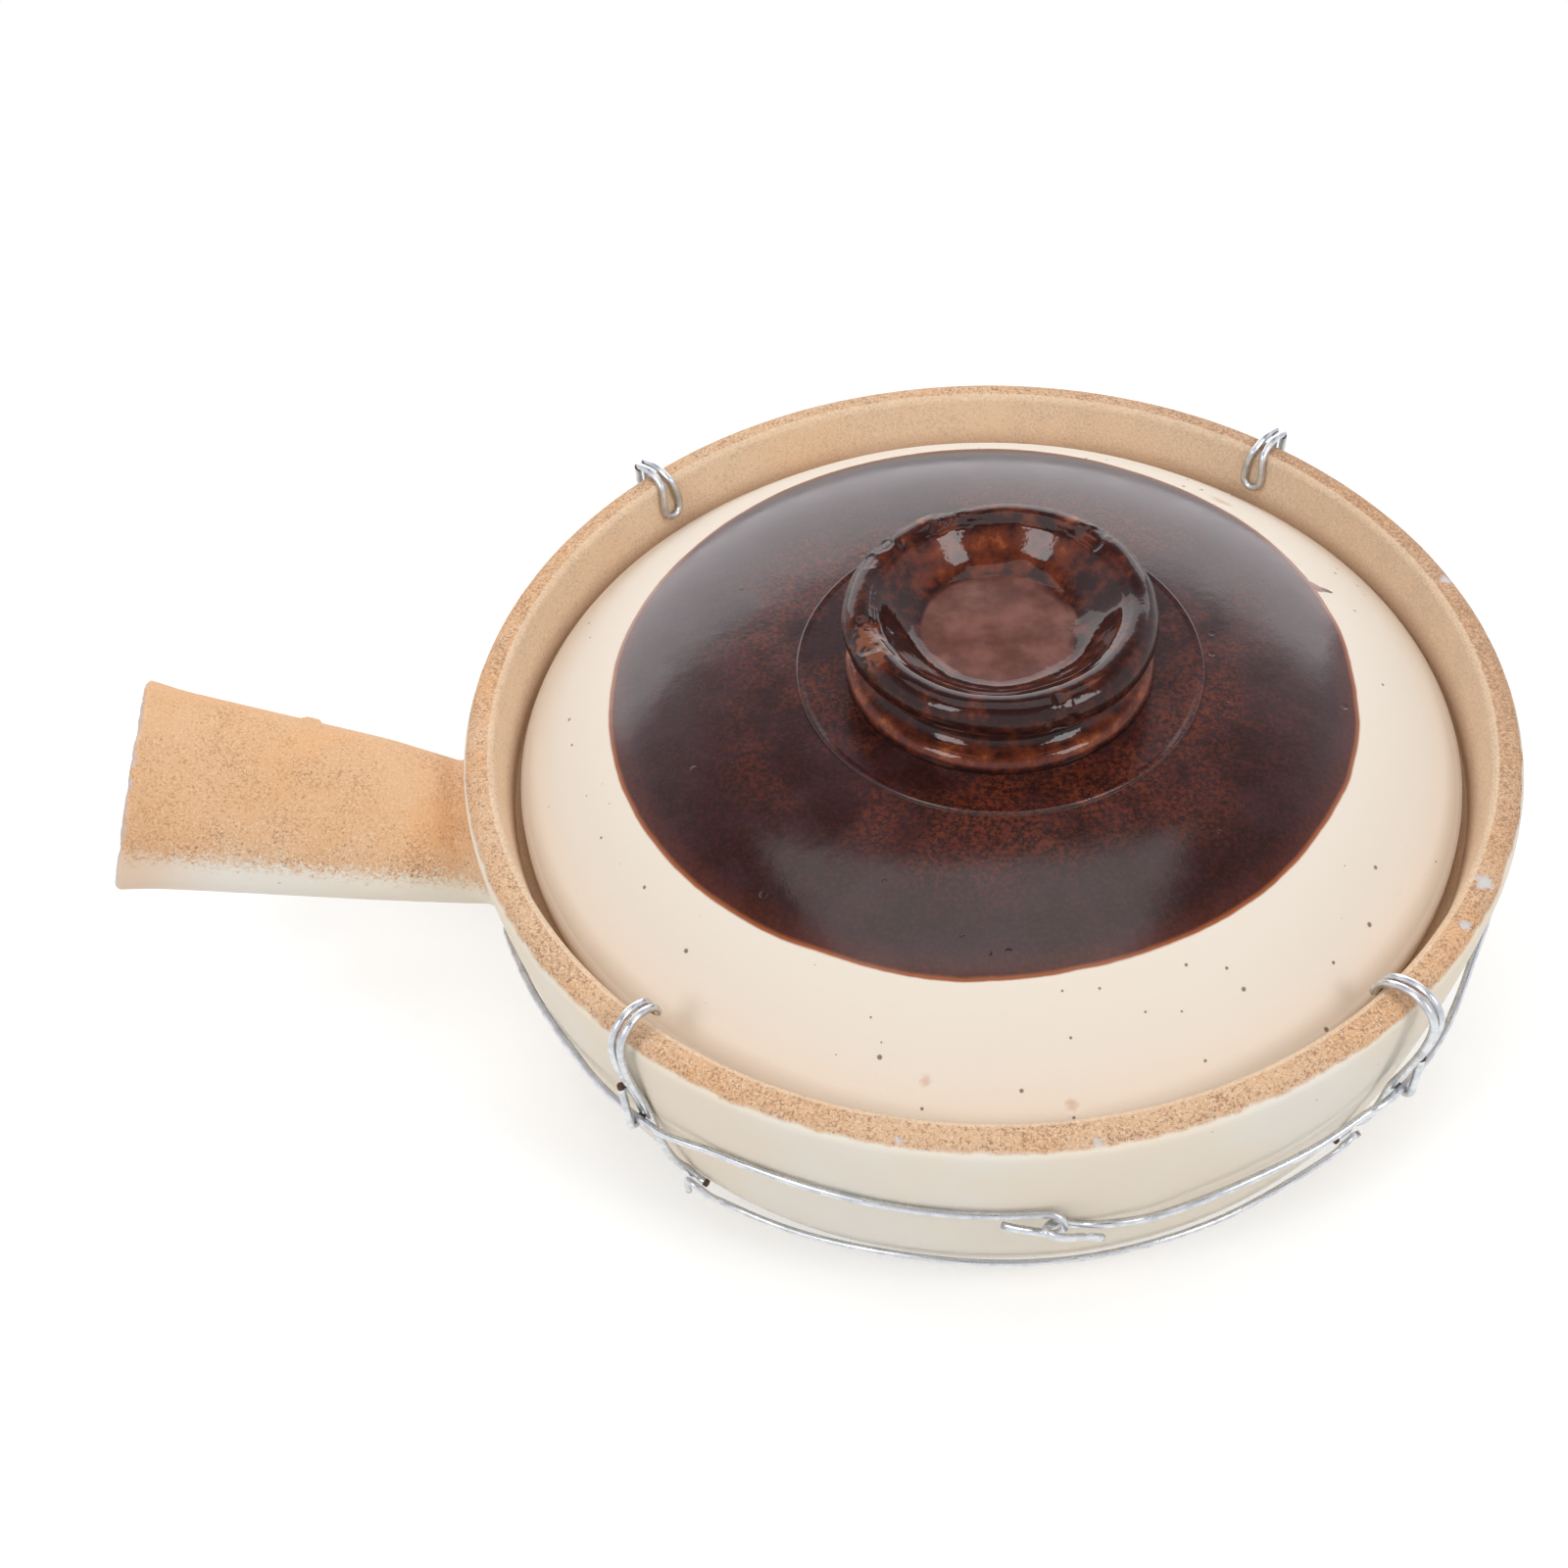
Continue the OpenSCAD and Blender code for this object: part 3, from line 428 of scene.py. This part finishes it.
# a shallow broken or pressed place: finer mesh there, pushed in, with a mask for its colour
def dent(bm, place, radius, depth, mask=None, cuts=2, seed=1.0):
    middle = Vector(place) * mm
    reach = radius * mm
    near = [edge for edge in bm.edges
            if min((vert.co - middle).length for vert in edge.verts) < reach * 1.3 + 0.8 * mm]
    bmesh.ops.subdivide_edges(bm, edges=near, cuts=cuts, use_grid_fill=True)
    bm.normal_update()
    layer = layerOf(bm, mask) if mask else None
    uneven = 0.4 if mask == "chipped" else 0.1
    hit = []
    for vert in bm.verts:
        away = (vert.co - middle).length / reach
        if away < 1.6:
            share = 1 - eased(away + 0.45 * wander(vert.co, radius * 0.6, seed), 0.45, 1.0)
            hit.append((vert, share, vert.normal.copy()))
    for vert, share, push in hit:
        ragged = 1 + uneven * wander(vert.co, 0.5, seed + 5)
        vert.co -= push * (depth * mm * share * ragged)
        if mask:
            vert[layer] = max(vert[layer], share)


def roughen(bm, size, amount, seed=0.0, where=None):
    bm.normal_update()
    moves = [(vert, wander(vert.co, size, seed) * amount * mm * (where(vert) if where else 1.0))
             for vert in bm.verts]
    for vert, move in moves:
        vert.co += vert.normal * move


def finishPiece(name, bm, material, body, slotName, *replaced):
    mesh = bpy.data.meshes.new(name)
    bm.to_mesh(mesh)
    bm.free()
    for polygon in mesh.polygons:
        polygon.use_smooth = True
    mesh.materials.append(material)
    piece = bpy.data.objects.new(name, mesh)
    bpy.context.scene.collection.objects.link(piece)
    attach(piece, body)
    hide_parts(*replaced)
    print(name, "made:", len(mesh.polygons), "faces")


# a CAD node's copy, merged to four-sided faces and smoothed, with its sharp edges kept
def smoothCopy(nodeName, levels, swell=0.0, sharpFrom=1.25, joinFrom=3.1):
    bm = bmesh.new()
    bm.from_mesh(nodes[nodeName].data)
    bmesh.ops.remove_doubles(bm, verts=bm.verts[:], dist=1e-6)
    bmesh.ops.join_triangles(bm, faces=bm.faces[:], angle_face_threshold=joinFrom,
                              angle_shape_threshold=joinFrom)
    bm.normal_update()
    crease = bm.edges.layers.float.new("crease_edge")
    sharp = []
    for edge in bm.edges:
        if edge.is_manifold and edge.calc_face_angle() > sharpFrom:
            edge[crease] = 0.85
            sharp.append((edge.verts[0].co + edge.verts[1].co) / 2)
    for vert in bm.verts:
        vert.co += vert.normal * swell * mm
    mesh = bpy.data.meshes.new("rough")
    bm.to_mesh(mesh)
    bm.free()
    rough = bpy.data.objects.new("rough", mesh)
    bpy.context.scene.collection.objects.link(rough)
    smoothing = rough.modifiers.new("smoothing", "SUBSURF")
    smoothing.levels = smoothing.render_levels = levels
    bpy.context.view_layer.update()
    fine = rough.evaluated_get(bpy.context.evaluated_depsgraph_get()).to_mesh()
    bm = bmesh.new()
    bm.from_mesh(fine)
    rough.evaluated_get(bpy.context.evaluated_depsgraph_get()).to_mesh_clear()
    bpy.data.objects.remove(rough)
    bpy.data.meshes.remove(mesh)
    bm.normal_update()
    return bm, sharp


# pot: base, turned corner, leaning wall, rolled rim, seat for the lid, bowl
potShape = {"steps": 320, "rimR": 120.0, "potH": 74.0, "rimLowZ": 70.2, "wallLowZ": 23.25,
            "wallDrop": 8.338, "wallCurve": 1.3, "wallT": 6.8, "seatZ": 56.0, "seatR": 114.2,
            "bowlLowZ": 5.0, "bowlTopZ": 56.3, "bowlR": 109.6, "waveSize": 22.0, "wave": 0.16,
            "chips": [((98.6, -61.9, 73.9), 2.4, 0.5), ((91.9, -72.6, 73.9), 1.5, 0.4),
                      ((113.5, 31.0, 73.8), 1.6, 0.35), ((-30.4, -114.6, 73.4), 1.0, 0.3),
                      ((8.6, -118.4, 73.2), 1.2, 0.3), ((20.0, 116.9, 73.9), 0.9, 0.25)]}


def makePotBody(shape):
    def wallR(height):
        share = max(0.0, (shape["rimLowZ"] - height) / (shape["rimLowZ"] - shape["wallLowZ"]))
        return shape["rimR"] - shape["wallDrop"] * share ** shape["wallCurve"]
    outside = [(wallR(height), height) for height in (23.4, 28, 33, 38, 43, 48, 53, 58, 62, 65.5, 68.5)]
    inside = [(wallR(height) - shape["wallT"], height) for height in (43.5, 38.5, 33.5, 28.5)]
    rimAndSeat = [(shape["rimR"], shape["potH"]), (112.787, shape["potH"]), (110, 56.5), (105, 56.5),
                  (105.7, 52.4), (107.6, 48.6), (109.2, 45.6)]
    floor = [(100.88, shape["wallT"]), (50, shape["wallT"]), (0, shape["wallT"])]
    points = [(0, 0), (40, 0), (106.293, 0)] + outside + rimAndSeat + inside + floor
    rim = 3 + len(outside)
    rounds = {2: (29.8, 14), rim: (3.8, 9), rim + 1: (1.8, 6), rim + 2: (0.5, 3), rim + 3: (1.0, 5),
              len(points) - 3: (23.2, 10)}
    bm = turnedShape(points, rounds, shape["steps"])
    bm.normal_update()
    seat, bowl = layerOf(bm, "seatSide"), layerOf(bm, "glazedInside")
    for vert in bm.verts:
        flat = Vector((vert.co.x, vert.co.y, 0))
        radius = flat.length / mm
        inward = -vert.normal.dot(flat.normalized()) if radius > 1 else 0
        height = vert.co.z / mm
        vert[seat] = 1.0 if height > shape["seatZ"] and radius < shape["seatR"] else 0.0
        within = shape["bowlLowZ"] < height < shape["bowlTopZ"] and radius < shape["bowlR"]
        vert[bowl] = 1.0 if within and (inward > 0.02 or vert.normal.z > 0.5) else 0.0
    roughen(bm, shape["waveSize"], shape["wave"], 3.0,
            lambda vert: (0.6 if vert.co.z > 0.068 else -0.5) * eased(vert.co.z, 0.004, 0.012))
    for place, radius, depth in shape["chips"]:
        dent(bm, place, radius, depth, "chipped", 3, radius)
    finishPiece("potBody", bm, potClay, "pot", "sand_clay", "pot_body")


makePotBody(potShape)


# handle: a thrown tube with a torn open end, a bump on its back and smudges by the root
handleShape = {"rootX": -115.9, "rootZ": 43.0, "tiltDeg": 19.0, "length": 85.5,
               "rootR": 16.8, "flare": 7.0,
               "ragged": 1.1, "tornFrom": 2.6, "flutter": 0.35, "creamFrom": -0.12, "topSpread": 1.6,
               "glowFrom": 60.0, "glowTo": 84.0, "tuckWithin": 3.0, "tuckX": -122.5, "tuck": 0.5,
               "bump": (47.0, 42.0, 2.6, -0.7),
               "smudges": [(14.0, -35.0, 7.5), (22.0, -48.0, 6.0), (17.0, 30.0, 8.0),
                           (60.0, -30.0, 5.0)]}


def makeHandle(shape):
    tilt = math.radians(shape["tiltDeg"])
    along = Vector((-math.cos(tilt), 0, math.sin(tilt)))
    upward = Vector((math.sin(tilt), 0, math.cos(tilt)))
    root = Vector((shape["rootX"], 0, shape["rootZ"])) * mm
    bm, _ = smoothCopy("handle", 2)
    chipped, top = layerOf(bm, "chipped"), layerOf(bm, "topSide")
    glow, smudged = layerOf(bm, "endGlow"), layerOf(bm, "smudged")

    def onHandle(distance, angleDeg):
        angle = math.radians(angleDeg)
        thick = shape["rootR"] + shape["flare"] * distance / shape["length"]
        out = Vector((0, 1, 0)) * math.cos(angle) + upward * math.sin(angle)
        return root + (along * distance + out * thick) * mm

    spots = [(onHandle(distance, angle), reach * mm) for distance, angle, reach in shape["smudges"]]
    for vert in bm.verts:
        rest = vert.co - root
        distance = rest.dot(along) / mm
        outward = rest - along * rest.dot(along)
        end = eased(distance, shape["length"] - shape["tornFrom"], shape["length"] - 0.2)
        torn = 0.15 + 0.8 * wander(vert.co, 5.0, 2.0) + 0.5 * wander(vert.co, 1.3, 7.0)
        side = outward.normalized()
        vert.co -= along * (end * shape["ragged"] * max(0.0, torn) * mm)
        vert.co += side * (end * shape["flutter"] * wander(vert.co, 2.0, 4.0) * mm)
        ragged = distance + 0.9 * wander(vert.co, 1.6, 9.0)
        rim = eased(ragged, shape["length"] - 1.0, shape["length"] - 0.2)
        vert[chipped] = rim * (0.55 + 0.45 * wander(vert.co, 1.0, 11.0))
        facing = side.dot(upward)
        vert[top] = min(1.0, max(0.0, 0.5 + shape["topSpread"] * (facing + shape["creamFrom"])))
        vert[glow] = max(eased(distance, shape["glowFrom"], shape["glowTo"]),
                         0.8 * eased(facing, 0.2, 0.8))
        vert[smudged] = max(1 - eased((vert.co - spot).length, 0.2 * reach, reach)
                            for spot, reach in spots)
        # the root's edge goes a little into the wall, so that no slit shows
        if distance < shape["tuckWithin"] and vert.co.x > shape["tuckX"] * mm:
            vert.co.x += shape["tuck"] * mm
    distance, angle, reach, depth = shape["bump"]
    dent(bm, onHandle(distance, angle) / mm, reach, depth, cuts=1)
    finishPiece("handlePiece", bm, handleClay, "pot", "sand_clay", "handle")


makeHandle(handleShape)


# lid: dome, foot ring and hollow, with the low round step that carries the knob
lidShape = {"steps": 320, "edgeR": 108.0, "shoulderR": 106.8, "lowZ": 56.7, "edgeZ": 62.5, "rise": 26.0,
            "power": 4.5, "hollowR": 101.0, "hollowRise": 25.8, "hollowPower": 6.0, "rings": 44,
            "stepX": 3.0, "stepR": 45.5, "stepZ": 88.9,
            "pits": [((1.7, -68.4, 85.2), 0.6, 0.25), ((-7.6, -77.6, 82.2), 0.9, 0.25)],
            "bare": [((65.6, 61.6, 76.6), 3.2, 0.35)], "run": (83.6, 25.6, 77.9),
            "marks": [((5.7, -104.2, 65.3), 1.6, 0.4), ((-23.1, -98.1, 69.0), 1.6, 0.08)]}


def makeLidDome(shape):
    def domeZ(radius, full, rise, power):
        return rise * (1 - (min(radius, full) / full) ** power)
    turns = shape["rings"]
    dome = [shape["shoulderR"] * math.cos(math.pi / 2 * step / turns) for step in range(turns + 1)]
    dome = [(radius, shape["edgeZ"] + domeZ(radius, shape["shoulderR"], shape["rise"], shape["power"]))
            for radius in dome]
    hollow = [shape["hollowR"] * math.sin(math.pi / 2 * step / 24) for step in range(25)]
    hollow = [(radius, shape["lowZ"] + domeZ(radius, shape["hollowR"], shape["hollowRise"],
                                             shape["hollowPower"]))
              for radius in hollow]
    points = hollow + [(shape["edgeR"], shape["lowZ"]), (shape["edgeR"], 61.9)] + dome
    bm = turnedShape(points, {25: (0.8, 3)}, shape["steps"])
    reach = shape["stepR"]
    stepTop = shape["stepZ"]
    stepPoints = [(0, 87.0), (reach, 87.0), (reach + 0.15, 88.3), (reach - 0.2, stepTop + 0.02),
                  (reach - 1.6, stepTop - 0.25), (36, stepTop - 0.12), (0, stepTop - 0.12)]
    step = turnedShape(stepPoints, {3: (0.45, 5), 4: (1.2, 3)}, shape["steps"], shape["stepX"])
    mesh = bpy.data.meshes.new("step")
    step.to_mesh(mesh)
    step.free()
    bm.from_mesh(mesh)
    bpy.data.meshes.remove(mesh)
    bm.normal_update()
    top, stained, run = layerOf(bm, "topSide"), layerOf(bm, "stained"), layerOf(bm, "glazeRun")
    spot = Vector(shape["run"]) * mm
    for vert in bm.verts:
        height = vert.co.z / mm
        radius = Vector((vert.co.x, vert.co.y, 0)).length / mm
        vert[top] = 1.0 if height > 62.4 and vert.normal.z > 0 else 0.0
        away = vert.co - spot
        vert[run] = 1 - eased(math.hypot(away.x * 0.55, away.y * 1.5) / mm, 0.3, 2.6)
    roughen(bm, 30, 0.12, 5.0, lambda vert: eased(vert.co.z, 0.0625, 0.075))
    for place, radius, depth in shape["pits"]:
        dent(bm, place, radius, depth, cuts=3, seed=radius)
    for place, radius, depth in shape["bare"] + shape["marks"]:
        dent(bm, place, radius, depth, "stained", 2, radius)
    finishPiece("lidDome", bm, lidGlaze, "lid", "brown_glaze", "lid")


makeLidDome(lidShape)


# knob: a thrown cup on a rounded foot, with dented lip, worn crest and a pool of glaze in its floor
knobShape = {"steps": 260, "x": 3.0, "top": 107.85, "footZ": 88.9,
             "lipR": 30.5, "lipZ": 14.2, "lipT": 4.4,
             "dents": [((-20.5, 22.0, 106.8), 4.2, 0.8), ((-24.5, 16.5, 106.4), 3.2, 0.5),
                       ((-5.0, 29.5, 107.2), 6.0, 0.6), ((26.0, 19.0, 107.0), 4.0, 0.4),
                       ((-27.5, -7.0, 106.0), 6.5, 0.7), ((12.0, -33.0, 104.0), 4.5, 0.4)],
             "cupWall": [(27.7, 18.0), (24.0, 14.8), (20.8, 10.4), (17.0, 10.0)], "poolR": 17.0,
             "worn": [((-12.0, 29.5, 107.6), 2.4), ((22.5, 24.5, 107.4), 2.0), ((-29.0, 10.0, 107.0), 1.0),
                      ((-27.5, 14.5, 107.2), 0.9), ((-26.5, -8.0, 107.0), 4.2),
                      ((-25.0, -14.0, 106.5), 3.0)]}


def makeKnob(shape):
    low, lipZ, lipR, lipT = shape["footZ"], shape["lipZ"], shape["lipR"], shape["lipT"]
    foot = [(29.5 + 5.0 * math.sqrt(1 - (step / 8) ** 3), low + 4.2 * step / 8) for step in range(9)]
    neck = [(29.4, low + 6.0), (30.2, low + 8.4)]
    bends = [math.radians(angle) for angle in range(-60, 131, 10)]
    lip = [(lipR + lipT * math.cos(bend), low + lipZ + lipT * math.sin(bend)) for bend in bends]
    wall = [Vector(point) for point in shape["cupWall"]]
    cup = []
    for step in range(1, 14):
        share = step / 14
        spot = (wall[0] * (1 - share) ** 3 + wall[1] * 3 * share * (1 - share) ** 2
                + wall[2] * 3 * share * share * (1 - share) + wall[3] * share ** 3)
        cup.append((spot.x, low + spot.y))
    floor = [(17.0, low + 9.9), (15.5, low + 9.75), (11, low + 9.9), (5, low + 10.0), (0, low + 10.05)]
    bm = turnedShape([(0, low)] + foot + neck + lip + cup + floor, {}, shape["steps"], shape["x"])
    roughen(bm, 9, 0.30, 1.5, lambda vert: eased(vert.co.z, 0.0925, 0.099))
    roughen(bm, 24, 0.5, 8.5, lambda vert: eased(vert.co.z, 0.0925, 0.099))
    for place, radius, depth in shape["dents"]:
        dent(bm, place, radius, depth, seed=radius)
    thin, pool, worn = layerOf(bm, "thinCrestAndLitWall"), layerOf(bm, "glazePool"), layerOf(bm, "worn")
    for vert in bm.verts:
        flat = Vector((vert.co.x - shape["x"] * mm, vert.co.y, 0))
        radius = flat.length / mm
        height = vert.co.z / mm - low
        # the foot's crest has thin glaze; the cup's back wall, which faces the lamps, is reddened as
        # painted light
        footCrest = eased(height, 0.6, 2.4) - eased(height, 3.2, 4.6)
        litBackWall = eased(flat.y / mm, 6, 22) * (1 - eased(radius, 25, 28)) * eased(radius, 17, 20)
        vert[thin] = min(1.0, 0.75 * footCrest + 0.5 * litBackWall)
        wave = 0.8 * wander(flat, 9, 4.0)
        vert[pool] = eased(shape["poolR"] + 0.6 + wave - radius, 0.0, 0.8) if height < lipZ - 3 else 0.0
        rub = 0.0
        for place, reach in shape["worn"]:
            away = (vert.co / mm - Vector(place)).length / reach + 0.8 * wander(vert.co, 1.4, 6.0)
            rub = max(rub, 1 - eased(away, 0.55, 0.9))
        vert[worn] = rub
    for vert in bm.verts:
        vert.co.z = min(vert.co.z, shape["top"] * mm)
    finishPiece("knobCup", bm, knobGlaze, "lid", "brown_glaze", "lid_knob")


makeKnob(knobShape)


# wires: round copies of the swept ones, with rust on their cut ends
wireShape = {"swell": 0.066, "rustReach": 1.3, "joinFrom": 0.75,
             "pieces": {"upperHoop": ("upper_hoop", 0.5),
                        "tieFront": ("tie_wire_front", 0.5),
                        "tieBack": ("tie_wire_back", 0.5),
                        "hookFrontLeft": ("rim_hook_front_left", 1.0),
                        "hookFrontRight": ("rim_hook_front_right", 1.0),
                        "hookBackLeft": ("rim_hook_back_left", 0.7),
                        "hookBackRight": ("rim_hook_back_right", 0.7)}}


def makeWires(shape):
    for name, (nodeName, rusty) in shape["pieces"].items():
        bm, ends = smoothCopy(nodeName, 2, shape["swell"], joinFrom=shape["joinFrom"])
        layer = layerOf(bm, "cutEnd")
        for vert in bm.verts:
            away = min((vert.co - end).length for end in ends) / mm if ends else 9.0
            vert[layer] = rusty * (1 - eased(away, 0.5, shape["rustReach"]))
        finishPiece(name, bm, wireZinc, "pot", "galvanised_wire", nodeName)


makeWires(wireShape)
print("pieces ready")


# studio: floor, soft boxes and a white surround
studio = {"floorSize": 12.0, "floorTone": 0.80, "glow": 0.30, "clearFrom": 0.20, "clearTo": 0.42,
          "ambient": 0.42,
          "skyLow": 0.50, "skyHigh": 0.86, "ceiling": 0.14, "sheen": (0.93, 0.91, 1.0),
          "boxes": [("overheadBox", (0.0, 0.10, 1.25), (0.0, 0.0, 0.05), 0.95, 0.80, 1.4),
                    ("leftBox", (-0.80, -0.70, 1.1), (0.0, 0.0, 0.05), 0.42, 0.60, 7.6),
                    ("rightBox", (0.80, -0.70, 1.1), (0.0, 0.0, 0.05), 0.42, 0.60, 7.6),
                    ("litBackWall", (0.0, 1.9, 0.75), (0.0, 0.0, 0.1), 3.4, 1.3, 1.7)]}


def seenDirectly(tree):
    seen = put(tree, "LightPath").outputs
    mirrored = maths(tree, "MAXIMUM", seen["Is Glossy Ray"], seen["Is Transmission Ray"])
    return maths(tree, "MAXIMUM", seen["Is Camera Ray"], mirrored)


# the floor shows the object's shadow near it and turns plain white further out
def makeFloor(settings):
    bm = bmesh.new()
    bmesh.ops.create_grid(bm, x_segments=1, y_segments=1, size=settings["floorSize"] / 2)
    mesh = bpy.data.meshes.new("studioFloor")
    bm.to_mesh(mesh)
    bm.free()
    floor = bpy.data.objects.new("studioFloor", mesh)
    bpy.context.scene.collection.objects.link(floor)
    material = bpy.data.materials.new("studioFloor")
    material.use_nodes = True
    tree = material.node_tree
    tree.nodes.clear()
    tone = settings["floorTone"]
    matt = put(tree, "BsdfDiffuse", {"Color": colour(tone, tone, tone)})
    glow = put(tree, "Emission", {"Color": colour(1, 1, 1), "Strength": settings["glow"]})
    white = put(tree, "Emission", {"Color": colour(1, 1, 1), "Strength": 1.0})
    lit = put(tree, "AddShader")
    tree.links.new(matt.outputs[0], lit.inputs[0])
    tree.links.new(glow.outputs[0], lit.inputs[1])
    far, _ = axisDistance(tree, put(tree, "TexCoord").outputs["Object"])
    shown = put(tree, "MixShader", {0: between(tree, far, settings["clearFrom"], settings["clearTo"])})
    tree.links.new(lit.outputs[0], shown.inputs[1])
    tree.links.new(white.outputs[0], shown.inputs[2])
    final = put(tree, "MixShader", {0: seenDirectly(tree)})
    tree.links.new(matt.outputs[0], final.inputs[1])
    tree.links.new(shown.outputs[0], final.inputs[2])
    out = put(tree, "OutputMaterial")
    tree.links.new(final.outputs[0], out.inputs[0])
    mesh.materials.append(material)


def makeStudio(settings):
    makeFloor(settings)
    world = bpy.data.worlds.new("studioAir")
    bpy.context.scene.world = world
    world.use_nodes = True
    tree = world.node_tree
    tree.nodes.clear()
    # white to well above the horizon, then a dark ceiling that only the glaze mirrors
    rise = put(tree, "SeparateXYZ", {0: put(tree, "TexCoord").outputs["Generated"]}).outputs[2]
    shown = between(tree, rise, settings["skyLow"], settings["skyHigh"], 1.0, settings["ceiling"])
    direct = seenDirectly(tree)
    strength = maths(tree, "ADD", maths(tree, "MULTIPLY", direct, shown),
                     maths(tree, "MULTIPLY", maths(tree, "SUBTRACT", 1.0, direct), settings["ambient"]))
    mirrored = put(tree, "LightPath").outputs["Is Glossy Ray"]
    tint = blend(tree, mirrored, colour(1, 1, 1), colour(*settings["sheen"]))
    air = put(tree, "Background", {"Color": tint, "Strength": strength})
    out = put(tree, "OutputWorld")
    tree.links.new(air.outputs[0], out.inputs[0])
    for name, place, aim, width, height, level in settings["boxes"]:
        data = bpy.data.lights.new(name, "AREA")
        data.shape = "RECTANGLE"
        data.size = width
        data.size_y = height
        data.energy = level * width * height * math.pi
        lamp = bpy.data.objects.new(name, data)
        lamp.location = place
        lamp.rotation_euler = (Vector(aim) - Vector(place)).to_track_quat("-Z", "Y").to_euler()
        bpy.context.scene.collection.objects.link(lamp)


makeStudio(studio)
bpy.context.scene.view_settings.view_transform = "Standard"
print("studio ready")

bpy.context.view_layer.update()
